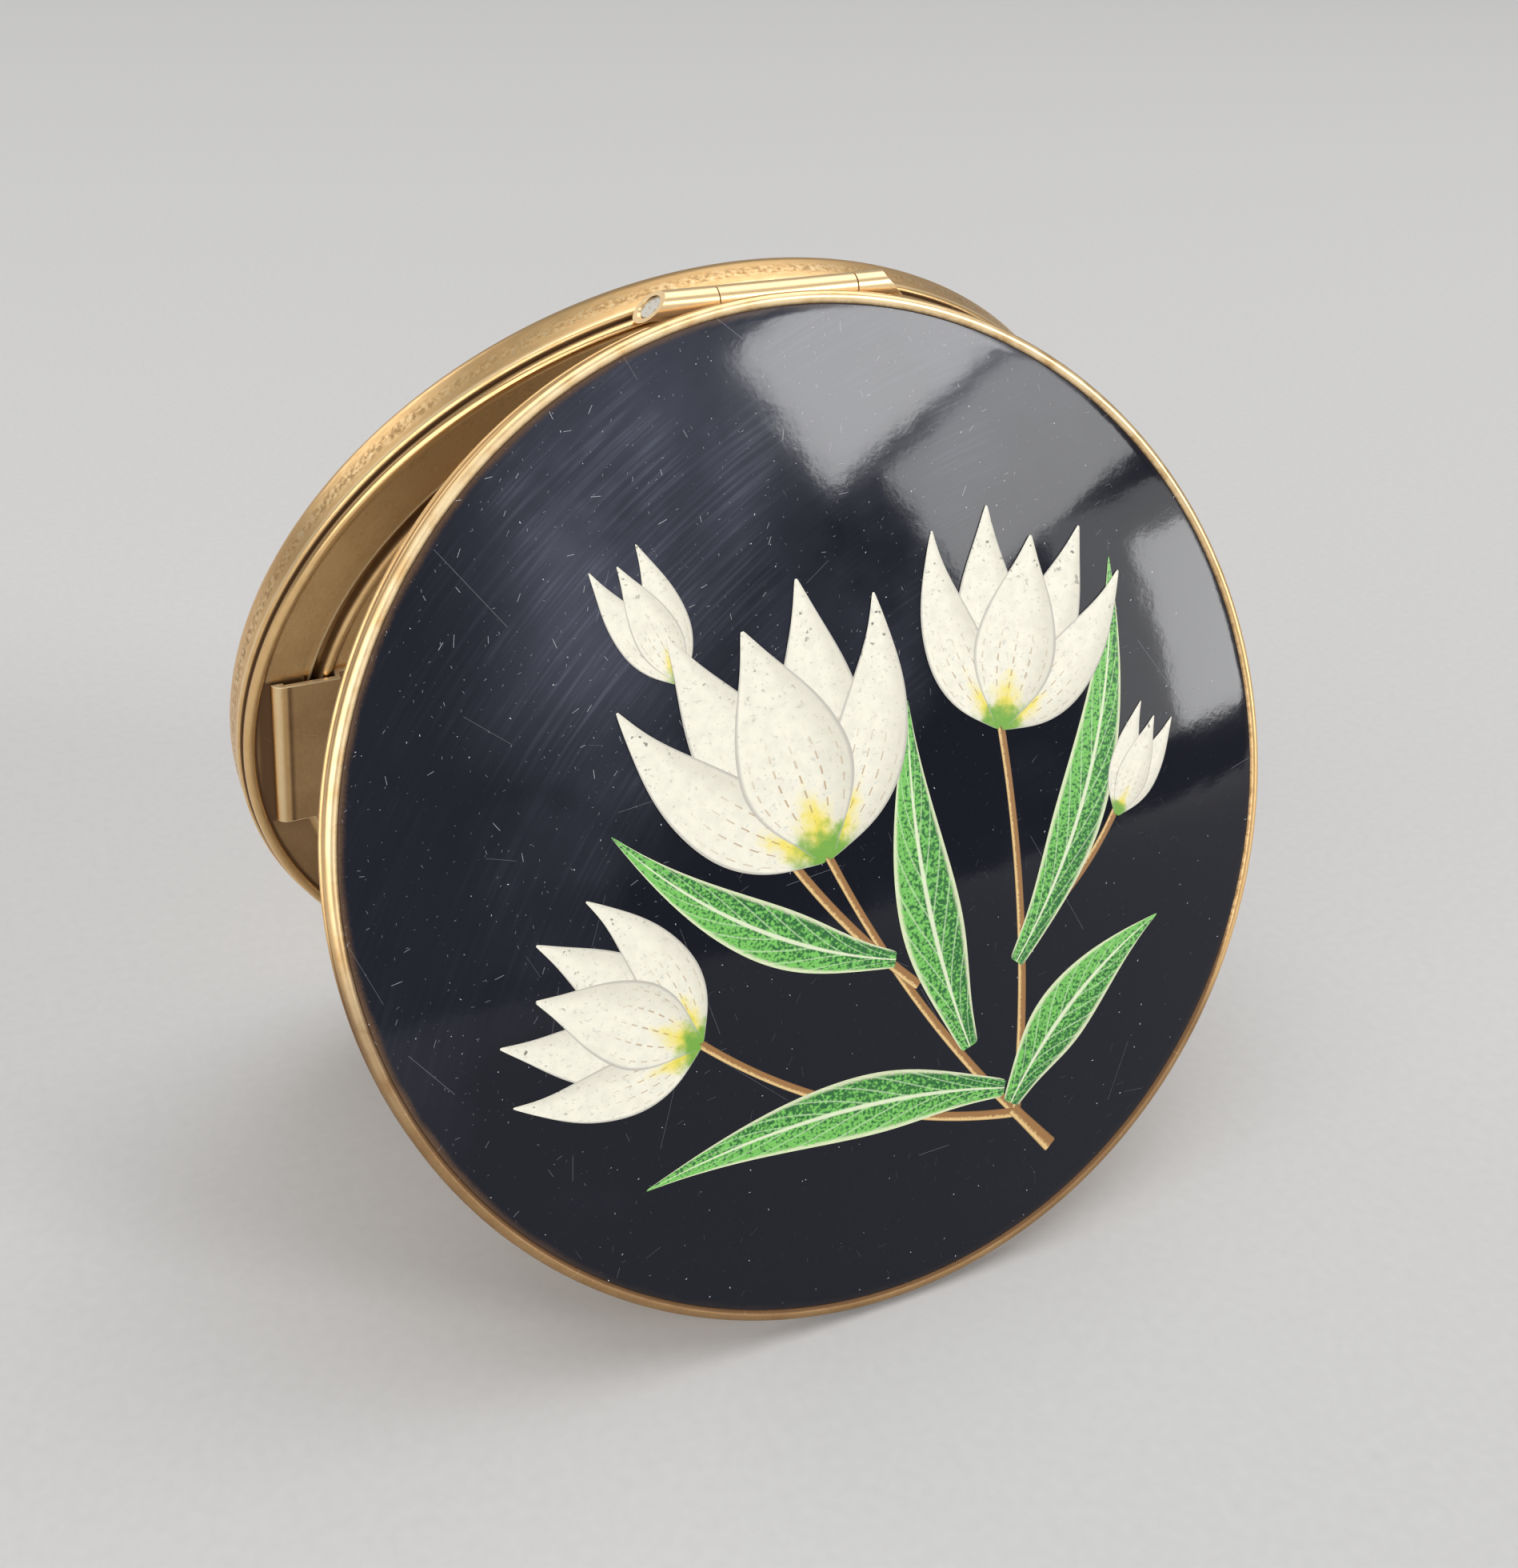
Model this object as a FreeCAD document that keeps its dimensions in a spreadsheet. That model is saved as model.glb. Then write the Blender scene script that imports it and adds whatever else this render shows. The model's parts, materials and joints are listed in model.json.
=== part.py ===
import FreeCAD, Part
import Sketcher
import math
import os

# A round brass compact with a mirror, standing open like a tent with its hinge at the top.
# Millimetres and degrees. +Z is up, X runs along the hinge, and the lid faces -Y.
# Each half is drawn closed: its own axis is Z, Z = 0 is the plane in which lid and base meet,
# and the hinge lies at +Y. The placements then lean the two halves against each other.

# Driving dimensions
SIZES = {
    # lid
    "lid_radius": 40.0,
    "lid_bead_width": 1.05,
    "lid_bead_sink": 0.25,
    "lid_dome_rise": 1.8,
    "lid_sheet": 0.4,
    "lid_wall": 0.62,
    "lid_lip_gap": 0.15,
    "lid_lip_height": 0.35,
    "lid_lip_bevel": 0.1,
    "enamel_thickness": 0.35,
    # mirror
    "mirror_margin": 4.85,
    "mirror_thickness": 1.0,
    "mirror_bevel": 0.25,
    "mirror_room": 0.07,
    "backing_thickness": 0.45,
    "backing_room": 0.05,
    "bezel_sheet": 0.3,
    "bezel_overlap": 1.0,
    "bezel_gap": 0.3,
    "bezel_flange_gap": 0.05,
    # base
    "base_step": 0.4,
    "base_depth": 5.0,
    "base_wall": 0.5,
    "base_edge_round": 1.4,
    "base_lip_round": 0.35,
    "frame_bead_width": 0.95,
    "frame_bead_drop": 0.05,
    "frame_bead_foot": 0.75,
    "frame_overhang": 0.2,
    "frame_sheet": 0.45,
    "skirt_gap": 0.2,
    "ledge_drop": 0.65,
    "ledge_edge_round": 0.3,
    "ledge_flange_drop": 1.7,
    # powder pan, sifter and cover
    "pan_gap": 0.35,
    "pan_sheet": 0.4,
    "pan_rim_drop": 1.5,
    "pan_seat_width": 0.8,
    "sifter_inset": 1.4,
    "sifter_thickness": 0.4,
    "sifter_ring_width": 2.6,
    "net_thickness": 0.12,
    "cover_gap": 0.65,
    "cover_sheet": 0.35,
    "cover_border_width": 0.9,
    "cover_border_height": 1.05,
    "tab_width": 16.3,
    "tab_bead_gap": 1.45,
    "tab_foot": 2.4,
    "tab_sheet": 0.35,
    "tab_hem": 1.0,
    "tab_hem_gap": 0.15,
    "tab_clearance": 0.15,
    # hinge
    "hinge_length": 22.5,
    "left_knuckle": 6.45,
    "right_knuckle": 4.75,
    "knuckle_radius": 1.05,
    "knuckle_gap": 0.1,
    "knuckle_seat": 0.05,
    "knuckle_end_cut": 2.6,
    "pin_radius": 0.7,
    "pin_recess": 0.2,
    # catch
    "catch_width": 6.0,
    "catch_inset": 0.72,
    "hook_sheet": 0.28,
    "hook_foot": 1.6,
    "hook_ridge": 0.25,
    "spring_sheet": 0.25,
    "spring_nose": 0.25,
    "spring_floor_gap": 0.8,
    "spring_flange_gap": 0.2,
    "catch_clearance": 0.15,
    "catch_play": 0.1,
    "slot_margin": 0.35,
    "rivet_radius": 0.35,
    "rivet_head_radius": 0.55,
    "rivet_head": 0.2,
    "rivet_margin": 0.1,
    "rivet_spacing": 3.6,
    # fits and pose
    "solder_gap": 0.02,
    "press_gap": 0.05,
    "running_gap": 0.05,
    "hinge_clearance": 0.3,
    "open_angle": 39.0,
}

doc = FreeCAD.newDocument("compact")
sheet = doc.addObject("Spreadsheet::Sheet", "sizes")
for row, (alias, number) in enumerate(SIZES.items(), start=1):
    sheet.set(f"A{row}", alias)
    sheet.set(f"B{row}", str(number))
    sheet.setAlias(f"B{row}", alias)
doc.recompute()


class Size:
    """A number that carries the sheet formula it comes from."""

    def __init__(self, value, formula):
        self.value = value
        self.formula = formula

    def __add__(self, other):
        return Size(self.value + number_of(other), f"({self.formula} + {formula_of(other)})")

    def __sub__(self, other):
        return Size(self.value - number_of(other), f"({self.formula} - {formula_of(other)})")

    def __mul__(self, other):
        return Size(self.value * number_of(other), f"({self.formula} * {formula_of(other)})")

    def __truediv__(self, other):
        return Size(self.value / number_of(other), f"({self.formula} / {formula_of(other)})")

    def __neg__(self):
        return Size(-self.value, f"(0 - {self.formula})")


def number_of(term):
    return term.value if isinstance(term, Size) else term


def formula_of(term):
    return term.formula if isinstance(term, Size) else str(term)


def size(alias):
    return Size(float(sheet.get(alias)), f"{sheet.Name}.{alias}")


def bind(thing, prop, length):
    thing.setExpression(prop, length.formula)


def root(length):
    return Size(math.sqrt(length.value), f"sqrt({length.formula})")


def dome_radius(reach, rise):
    """Radius of the arc that climbs by rise from its edge at reach to the axis."""
    return (reach * reach + rise * rise) / (rise * 2)


def dome_reach(radius, depth):
    """How far from the axis an arc of that radius lies at a depth under its crown."""
    return root(depth * (radius * 2 - depth))


# Radii of both rims: the base is a step wider than the lid, and the hinge lies at the lid's edge
lid_radius = size("lid_radius")
base_radius = lid_radius + size("base_step")
hinge_offset = lid_radius
bead_round = size("lid_bead_width") / 2
enamel_radius = lid_radius - size("lid_bead_width")
lid_neck = lid_radius - bead_round
lid_inside = lid_neck - size("lid_wall")

# Lid, stacked up from the plane in which it meets the base; the dome just clears the mirror's edge
lip_bottom = size("lid_lip_gap")
lip_top = lip_bottom + size("lid_lip_height")
bezel_top = size("bezel_gap") + size("bezel_sheet")
mirror_radius = lid_inside - size("mirror_margin")
mirror_top = bezel_top + size("mirror_thickness")
lid_rise = size("lid_dome_rise")
edge_share = (mirror_radius * mirror_radius) / (lid_inside * lid_inside)
inside_level = mirror_top + size("mirror_room") - lid_rise + lid_rise * edge_share
shell_level = inside_level + size("lid_sheet")
rim_level = shell_level + size("enamel_thickness")
bead_level = rim_level - size("lid_bead_sink")
card_top = mirror_top + size("backing_thickness")
card_depth = inside_level + lid_rise - card_top - size("backing_room")
card_radius = dome_reach(dome_radius(lid_inside, lid_rise), card_depth)

# Hinge, along X with its ends at plus and minus half its length
half_hinge = size("hinge_length") / 2
left_joint = size("left_knuckle") - half_hinge
right_joint = half_hinge - size("right_knuckle")
half_gap = size("knuckle_gap") / 2
seat_radius = size("knuckle_radius") + size("solder_gap")
free_radius = size("knuckle_radius") + size("hinge_clearance")

# Base shell, whose lip takes the knuckles, and the frame that is pressed into it
base_lip_level = size("knuckle_seat") - size("knuckle_radius")
base_inside = base_radius - size("base_wall")
base_floor = size("base_wall") - size("base_depth")
base_inner_round = size("base_edge_round") - size("base_wall")
skirt_radius = base_inside - size("press_gap")
skirt_inside = skirt_radius - size("frame_sheet")
skirt_bottom = base_floor + base_inner_round + size("skirt_gap")
frame_bead_round = size("frame_bead_width") / 2
frame_bead_radius = skirt_radius + size("frame_overhang") - frame_bead_round
frame_bead_inside = frame_bead_radius - frame_bead_round
frame_bead_outside = frame_bead_radius + frame_bead_round
frame_bead_level = -(size("frame_bead_drop") + frame_bead_round)
ledge_level = -size("ledge_drop")
ledge_under = ledge_level - size("frame_sheet")

# Catch, opposite the hinge, from the bead inwards: the spring's nose stands inside the hook's ridge
hook_outside = frame_bead_inside - size("catch_inset")
hook_inside = hook_outside - size("hook_sheet")
ridge_radius = hook_inside - size("hook_ridge")
nose_radius = ridge_radius - size("catch_clearance")
spring_outside = nose_radius - size("spring_nose")
spring_inside = spring_outside - size("spring_sheet")
rivet_line = spring_inside - size("rivet_margin") - size("rivet_head_radius")
rivet_place = size("rivet_spacing") / 2
spring_heel = rivet_line - size("rivet_head_radius") - size("rivet_margin")
spring_under = ledge_under - size("spring_sheet")
nose_level = spring_under - size("spring_nose")
nose_bottom = nose_level - size("spring_nose")
ridge_level = nose_bottom - size("catch_play")

# The ledge ends in a flange beside the spring's foot; pan, sifter and cover fit inside it
flange_radius = spring_heel - size("spring_flange_gap")
ledge_inner_radius = flange_radius - size("frame_sheet")
pan_radius = ledge_inner_radius - size("pan_gap")
pan_inside = pan_radius - size("pan_sheet")
pan_seat_inside = pan_inside - size("pan_seat_width")
pan_rim = -size("pan_rim_drop")
sifter_level = pan_rim - size("sifter_inset")
sifter_top = sifter_level + size("sifter_thickness")
sifter_radius = pan_inside - size("press_gap")
sifter_bore = sifter_radius - size("sifter_ring_width")
cover_radius = ledge_inner_radius - size("cover_gap")
cover_top = pan_rim + size("cover_sheet")
border_round = size("cover_border_width") / 2
border_crown = pan_rim + size("cover_border_height")
border_inside = cover_radius - size("cover_border_width")

# The rest pose: the open halves lean so that the lips of both touch one level floor.
# Each foot is a point of the half's outline, seen along the hinge and measured from its axis,
# with the radius of the round that touches there.
OPEN = math.radians(number_of(size("open_angle")))
REACH = hinge_offset.value
LIP_ROUND = number_of(size("base_lip_round"))
BASE_FOOT = REACH + base_radius.value - LIP_ROUND
BASE_FOOT_DEPTH = LIP_ROUND - base_lip_level.value
LID_FOOT = REACH + lid_radius.value
LID_FOOT_DEPTH = number_of(lip_bottom + size("lid_lip_bevel"))


def rest_lean():
    """Lean of the base from upright, with which both feet stand at one height."""
    level = BASE_FOOT - LID_FOOT * math.cos(OPEN) + LID_FOOT_DEPTH * math.sin(OPEN)
    slope = BASE_FOOT_DEPTH + LID_FOOT * math.sin(OPEN) + LID_FOOT_DEPTH * math.cos(OPEN)
    return math.acos(-LIP_ROUND / math.hypot(level, slope)) - math.atan2(slope, level)


BASE_LEAN = rest_lean()
LID_LEAN = OPEN - BASE_LEAN
HINGE_HEIGHT = LID_FOOT * math.cos(LID_LEAN) - LID_FOOT_DEPTH * math.sin(LID_LEAN)


def reach_out(radius, depth, rounding, lean):
    """How far a leaning half reaches out from the hinge at a round on its outer edge."""
    across = REACH + number_of(radius) - number_of(rounding)
    return across * math.sin(lean) + number_of(depth) * math.cos(lean) + number_of(rounding)


# The origin is under the middle of the whole, so the hinge is set off by half the difference in reach
BACK_REACH = reach_out(base_radius, size("base_depth") - size("base_edge_round"),
                       size("base_edge_round"), BASE_LEAN)
FRONT_REACH = reach_out(lid_radius, bead_level, bead_round, LID_LEAN)
HINGE_PLACE = FreeCAD.Vector(0, (FRONT_REACH - BACK_REACH) / 2, HINGE_HEIGHT)
RIGHT_ANGLE = 90.0
X_AXIS = FreeCAD.Vector(1, 0, 0)


def leaning(turn, offset):
    """Placement of a half that is turned about the hinge, whose axis lies at offset along its Y."""
    hinge = FreeCAD.Placement(HINGE_PLACE, FreeCAD.Rotation(X_AXIS, turn))
    return hinge * FreeCAD.Placement(FreeCAD.Vector(0, -offset, 0), FreeCAD.Rotation())


BASE_TURN = RIGHT_ANGLE + math.degrees(BASE_LEAN)
LID_TURN = RIGHT_ANGLE - math.degrees(LID_LEAN)
ON_BASE = leaning(BASE_TURN, REACH)
ON_LID = leaning(LID_TURN, REACH)
BASE_HINGE = leaning(BASE_TURN, 0.0)
LID_HINGE = leaning(LID_TURN, 0.0)

subparts = []


def keep(thing, label, placement):
    """Name a finished sub-part and put it in its place."""
    thing.Label = label
    thing.Placement = placement
    subparts.append(thing)


def origin_plane(body, role):
    return next(feature for feature in body.Origin.OriginFeatures if feature.Role == role)


def arc_between(start, end, radius):
    """Arc of under a half circle from start to end, turning left, or right if the radius is negative."""
    chord = end - start
    half = chord.Length / 2
    rise = math.copysign(math.sqrt(max(radius * radius - half * half, 0.0)), radius)
    normal = FreeCAD.Vector(-chord.y, chord.x, 0)
    normal.normalize()
    centre = (start + end) * 0.5 + normal * rise
    circle = Part.Circle(centre, FreeCAD.Vector(0, 0, 1), abs(radius))
    first, last = (start, end) if radius > 0 else (end, start)
    return Part.ArcOfCircle(circle, circle.parameter(first), circle.parameter(last))


def new_sketch(body, role):
    sketch = body.newObject("Sketcher::SketchObject", "outline")
    sketch.AttachmentSupport = [(origin_plane(body, role), "")]
    sketch.MapMode = "FlatFace"
    return sketch


# A sketch numbers its axes, and the points of each edge, in this order
UP_AXIS, ACROSS_AXIS = range(-2, 0)
START, END, CENTRE = range(1, 4)


def fix(sketch, kind, edge, point, length):
    """Hold a point of a sketched edge at a length from an axis, or on that axis where it is a plain 0."""
    if not isinstance(length, Size):
        axis = UP_AXIS if kind == "DistanceX" else ACROSS_AXIS
        sketch.addConstraint(Sketcher.Constraint("PointOnObject", edge, point, axis))
        return
    place = sketch.addConstraint(Sketcher.Constraint(kind, ACROSS_AXIS, START, edge, point, length.value))
    bind(sketch, f"Constraints[{place}]", length)


def set_radius(sketch, edge, radius):
    place = sketch.addConstraint(Sketcher.Constraint("Radius", edge, abs(radius.value)))
    sketch.setExpression(f"Constraints[{place}]", f"abs({radius.formula})")


def add_circle(sketch, across, up, radius):
    centre = FreeCAD.Vector(number_of(across), number_of(up), 0)
    edge = sketch.addGeometry(Part.Circle(centre, FreeCAD.Vector(0, 0, 1), radius.value), False)
    fix(sketch, "DistanceX", edge, CENTRE, across)
    fix(sketch, "DistanceY", edge, CENTRE, up)
    set_radius(sketch, edge, radius)


def add_outline(sketch, corners):
    """Closed outline. A corner is (across, up), or (across, up, radius) where an arc leads to it."""
    points = [FreeCAD.Vector(number_of(corner[0]), number_of(corner[1]), 0) for corner in corners]
    first_edge = len(sketch.Geometry)
    ends = []
    for index, point in enumerate(points):
        following = (index + 1) % len(points)
        radius = number_of(corners[following][2]) if len(corners[following]) == 3 else 0
        if radius:
            edge = arc_between(point, points[following], radius)
        else:
            edge = Part.LineSegment(point, points[following])
        sketch.addGeometry(edge, False)
        ends.append((END, START) if radius < 0 else (START, END))
    for index, corner in enumerate(corners):
        before = (index - 1) % len(corners)
        edge, last_edge = first_edge + index, first_edge + before
        joined = Sketcher.Constraint("Coincident", last_edge, ends[before][1], edge, ends[index][0])
        sketch.addConstraint(joined)
        fix(sketch, "DistanceX", edge, ends[index][0], corner[0])
        fix(sketch, "DistanceY", edge, ends[index][0], corner[1])
        if len(corner) == 3:
            set_radius(sketch, last_edge, corner[2])


def finish(body, feature):
    body.Tip = feature
    doc.recompute()
    return body


def turned(label, corners):
    """Body turned about Z from a closed outline of (radius, height) corners."""
    body = doc.addObject("PartDesign::Body", label)
    sketch = new_sketch(body, "XZ_Plane")
    add_outline(sketch, corners)
    turning = body.newObject("PartDesign::Revolution", "turning")
    turning.Profile = sketch
    turning.ReferenceAxis = (sketch, ["V_Axis"])
    return finish(body, turning)


def strip(label, role, corners, width):
    """Body of a bent strip: its outline seen edge on, made as wide as the strip about the middle."""
    body = doc.addObject("PartDesign::Body", label)
    sketch = new_sketch(body, role)
    add_outline(sketch, corners)
    pad = body.newObject("PartDesign::Pad", "width")
    pad.Profile = sketch
    bind(pad, "Length", width)
    pad.SideType = "Symmetric"
    return finish(body, pad)


def cut(body, sketch, length, side="One side", along_normal=False):
    """Pocket a sketch into its body, and make sure that this takes material away."""
    before = body.Shape
    pocket = body.newObject("PartDesign::Pocket", "cut")
    pocket.Profile = sketch
    bind(pocket, "Length", length)
    pocket.SideType = side
    pocket.Reversed = along_normal
    finish(body, pocket)
    if not before.cut(body.Shape).Solids:
        raise RuntimeError(f"{body.Label}: a cut took nothing away")


def hinge_notch(body, start, end, radius):
    """Round notch about the hinge axis, from start to end along X."""
    sketch = new_sketch(body, "YZ_Plane")
    bind(sketch, "AttachmentOffset.Base.z", start)
    add_circle(sketch, hinge_offset, 0, radius)
    cut(body, sketch, end - start, along_normal=True)


# Hinge notches: every knuckle is seated in its own half and runs free of the other
def seat_lid_knuckle(body):
    hinge_notch(body, -half_hinge, half_hinge, seat_radius)
    hinge_notch(body, -half_hinge - size("hinge_clearance"), left_joint + half_gap, free_radius)
    hinge_notch(body, right_joint - half_gap, half_hinge + size("hinge_clearance"), free_radius)


def seat_base_knuckles(body):
    hinge_notch(body, -half_hinge, half_hinge, seat_radius)
    hinge_notch(body, left_joint - half_gap, right_joint + half_gap, free_radius)


# Lid shell: domed face, bead, neck and back lip in one pressing
def make_lid_shell():
    bevel = size("lid_lip_bevel")
    body = turned("lid_shell", [
        (0, shell_level + lid_rise, dome_radius(enamel_radius, lid_rise)),
        (0, inside_level + lid_rise),
        (lid_inside, inside_level, -dome_radius(lid_inside, lid_rise)),
        (lid_inside, lip_bottom),
        (lid_radius - bevel, lip_bottom),
        (lid_radius, lip_bottom + bevel),
        (lid_radius, lip_top),
        (lid_neck, lip_top + bevel),
        (lid_neck, bead_level - bead_round),
        (lid_radius, bead_level, bead_round),
        (lid_neck, bead_level + bead_round, bead_round),
        (enamel_radius, bead_level, bead_round),
        (enamel_radius, shell_level),
    ])
    seat_lid_knuckle(body)
    keep(body, "lid_shell", ON_LID)


# Enamel: an even layer on the dome, inside the bead
def make_lid_enamel():
    edge = enamel_radius - size("solder_gap")
    under = shell_level + size("solder_gap")
    body = turned("lid_enamel", [
        (0, rim_level + lid_rise, dome_radius(edge, lid_rise)),
        (0, under + lid_rise),
        (edge, under, -dome_radius(edge, lid_rise)),
        (edge, rim_level),
    ])
    keep(body, "lid_enamel", ON_LID)


# Mirror: glass with a bevelled face, held by a ring that grips the lid's wall, with a card behind it
def make_mirror():
    bevel = size("mirror_bevel")
    glass = turned("mirror_glass", [
        (0, bezel_top),
        (mirror_radius - bevel, bezel_top),
        (mirror_radius, bezel_top + bevel),
        (mirror_radius, mirror_top),
        (0, mirror_top),
    ])
    keep(glass, "mirror_glass", ON_LID)
    card = turned("mirror_backing", [
        (0, mirror_top),
        (card_radius, mirror_top),
        (card_radius, card_top),
        (0, card_top),
    ])
    keep(card, "mirror_backing", ON_LID)
    bore = mirror_radius - size("bezel_overlap")
    outside = lid_inside - size("press_gap")
    flange_inside = outside - size("bezel_sheet")
    flange_top = inside_level - size("bezel_flange_gap")
    bezel = turned("mirror_bezel", [
        (bore, size("bezel_gap")),
        (outside, size("bezel_gap")),
        (outside, flange_top),
        (flange_inside, flange_top),
        (flange_inside, bezel_top),
        (bore, bezel_top),
    ])
    keep(bezel, "mirror_bezel", ON_LID)


# Base shell: cup with a rounded back edge and a rounded lip
def make_base_shell():
    bottom = -size("base_depth")
    edge_round = size("base_edge_round")
    lip_round = size("base_lip_round")
    body = turned("base_shell", [
        (0, bottom),
        (base_radius - edge_round, bottom),
        (base_radius, bottom + edge_round, edge_round),
        (base_radius, base_lip_level - lip_round),
        (base_radius - lip_round, base_lip_level, lip_round),
        (base_inside, base_lip_level),
        (base_inside, base_floor + base_inner_round),
        (base_inside - base_inner_round, base_floor, -base_inner_round),
        (0, base_floor),
    ])
    seat_base_knuckles(body)
    keep(body, "base_shell", ON_BASE)


# Base frame: raised bead, flat ledge with a turned-down inner edge, and a skirt inside the shell
def make_base_frame():
    edge_round = size("ledge_edge_round")
    body = turned("base_frame", [
        (ledge_inner_radius, ledge_level - edge_round, edge_round),
        (ledge_inner_radius, -size("ledge_flange_drop")),
        (flange_radius, -size("ledge_flange_drop")),
        (flange_radius, ledge_under),
        (skirt_inside, ledge_under),
        (skirt_inside, skirt_bottom),
        (skirt_radius, skirt_bottom),
        (skirt_radius, -size("frame_bead_foot")),
        (frame_bead_outside, -size("frame_bead_foot")),
        (frame_bead_outside, frame_bead_level),
        (frame_bead_radius, frame_bead_level + frame_bead_round, frame_bead_round),
        (frame_bead_inside, frame_bead_level, frame_bead_round),
        (frame_bead_inside, ledge_level),
        (ledge_inner_radius + edge_round, ledge_level),
    ])
    seat_base_knuckles(body)
    cut_catch_slot(body)
    cut_rivet_holes(body)
    keep(body, "base_frame", ON_BASE)


def cut_catch_slot(body):
    """Slot through the ledge, in which the hook goes down."""
    margin = size("slot_margin")
    side = size("catch_width") / 2 + margin
    near = margin - ridge_radius
    far = -hook_outside - margin
    sketch = new_sketch(body, "XY_Plane")
    add_outline(sketch, [(-side, far), (side, far), (side, near), (-side, near)])
    cut(body, sketch, size("ledge_flange_drop"))


def cut_rivet_holes(body):
    """Two holes through the ledge, or through the foot of the spring below it."""
    sketch = new_sketch(body, "XY_Plane")
    for across in (-rivet_place, rivet_place):
        add_circle(sketch, across, -rivet_line, size("rivet_radius") + size("solder_gap"))
    cut(body, sketch, size("ledge_flange_drop"))


# Powder pan with a seat for the sifter, standing on the floor of the shell
def make_powder_pan():
    floor_top = base_floor + size("pan_sheet")
    body = turned("powder_pan", [
        (0, base_floor),
        (pan_radius, base_floor),
        (pan_radius, pan_rim),
        (pan_inside, pan_rim),
        (pan_inside, sifter_level),
        (pan_seat_inside, sifter_level),
        (pan_seat_inside, floor_top),
        (0, floor_top),
    ])
    keep(body, "powder_pan", ON_BASE)


def make_sifter():
    ring = turned("sifter_ring", [
        (sifter_bore, sifter_level),
        (sifter_radius, sifter_level),
        (sifter_radius, sifter_top),
        (sifter_bore, sifter_top),
    ])
    keep(ring, "sifter_ring", ON_BASE)
    net_radius = sifter_bore - size("press_gap")
    net_under = sifter_level + (size("sifter_thickness") - size("net_thickness")) / 2
    net_top = net_under + size("net_thickness")
    net = turned("sifter_net", [(0, net_under), (net_radius, net_under), (net_radius, net_top), (0, net_top)])
    keep(net, "sifter_net", ON_BASE)


# Powder cover: flat panel with a rounded border, resting on the rim of the pan
def make_powder_cover():
    crown_radius = cover_radius - border_round
    round_level = border_crown - border_round
    body = turned("powder_cover", [
        (0, pan_rim),
        (cover_radius, pan_rim),
        (cover_radius, round_level),
        (crown_radius, border_crown, border_round),
        (border_inside, round_level, border_round),
        (border_inside, cover_top),
        (0, cover_top),
    ])
    keep(body, "powder_cover", ON_BASE)


# Lift tab: strip that steps over the border and ends in a rounded hem above the ledge, at -X
def make_lift_tab():
    half_width = size("tab_width") / 2
    riser = root(border_inside * border_inside - half_width * half_width) - size("tab_clearance")
    riser_inside = riser - size("tab_sheet")
    heel = riser_inside - size("tab_foot")
    under = border_crown + size("tab_clearance")
    top = under + size("tab_sheet")
    reach = frame_bead_inside - size("tab_bead_gap")
    hem = reach - size("tab_hem")
    hem_bottom = ledge_level + size("tab_hem_gap")
    body = strip("cover_lift_tab", "XZ_Plane", [
        (-reach, hem_bottom, dome_radius(size("tab_hem"), top - hem_bottom)),
        (-hem, hem_bottom),
        (-hem, under),
        (-riser, under),
        (-riser, cover_top),
        (-heel, cover_top),
        (-heel, cover_top + size("tab_sheet")),
        (-riser_inside, cover_top + size("tab_sheet")),
        (-riser_inside, top),
        (-hem, top),
    ], size("tab_width"))
    keep(body, "cover_lift_tab", ON_BASE)


# Catch: a sprung strip riveted under the ledge, and a hook soldered under the mirror's ring
def make_catch_spring():
    bottom = base_floor + size("spring_floor_gap")
    body = strip("catch_spring", "YZ_Plane", [
        (-spring_heel, ledge_under),
        (-spring_outside, ledge_under),
        (-spring_outside, spring_under),
        (-nose_radius, nose_level),
        (-spring_outside, nose_bottom),
        (-spring_outside, bottom),
        (-spring_inside, bottom),
        (-spring_inside, spring_under),
        (-spring_heel, spring_under),
    ], size("catch_width"))
    cut_rivet_holes(body)
    keep(body, "catch_spring", ON_BASE)


def make_catch_hook():
    face = size("bezel_gap")
    foot_under = face - size("hook_sheet")
    tip = ridge_level - size("hook_ridge")
    heel = hook_outside - size("hook_foot")
    body = strip("catch_hook", "YZ_Plane", [
        (-heel, face),
        (-hook_outside, face),
        (-hook_outside, tip),
        (-hook_inside, tip),
        (-ridge_radius, ridge_level),
        (-hook_inside, ridge_level + size("hook_ridge")),
        (-hook_inside, foot_under),
        (-heel, foot_under),
    ], size("catch_width"))
    keep(body, "catch_hook", ON_LID)


def rivet_disc(across, start, end, radius):
    """One round of a rivet, from height start to height end."""
    disc = doc.addObject("Part::Cylinder", "rivet_round")
    bind(disc, "Radius", radius)
    bind(disc, "Height", end - start)
    bind(disc, "Placement.Base.x", across)
    bind(disc, "Placement.Base.y", -rivet_line)
    bind(disc, "Placement.Base.z", start)
    return disc


def make_catch_rivets():
    head = size("rivet_head")
    rivets = []
    for across in (-rivet_place, rivet_place):
        rivet = doc.addObject("Part::MultiFuse", "rivet")
        rivet.Shapes = [
            rivet_disc(across, ledge_level, ledge_level + head, size("rivet_head_radius")),
            rivet_disc(across, spring_under, ledge_level, size("rivet_radius")),
            rivet_disc(across, spring_under - head, spring_under, size("rivet_head_radius")),
        ]
        rivets.append(rivet)
    pair = doc.addObject("Part::Compound", "catch_rivets")
    pair.Links = rivets
    doc.recompute()
    keep(pair, "catch_rivets", ON_BASE)


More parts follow.
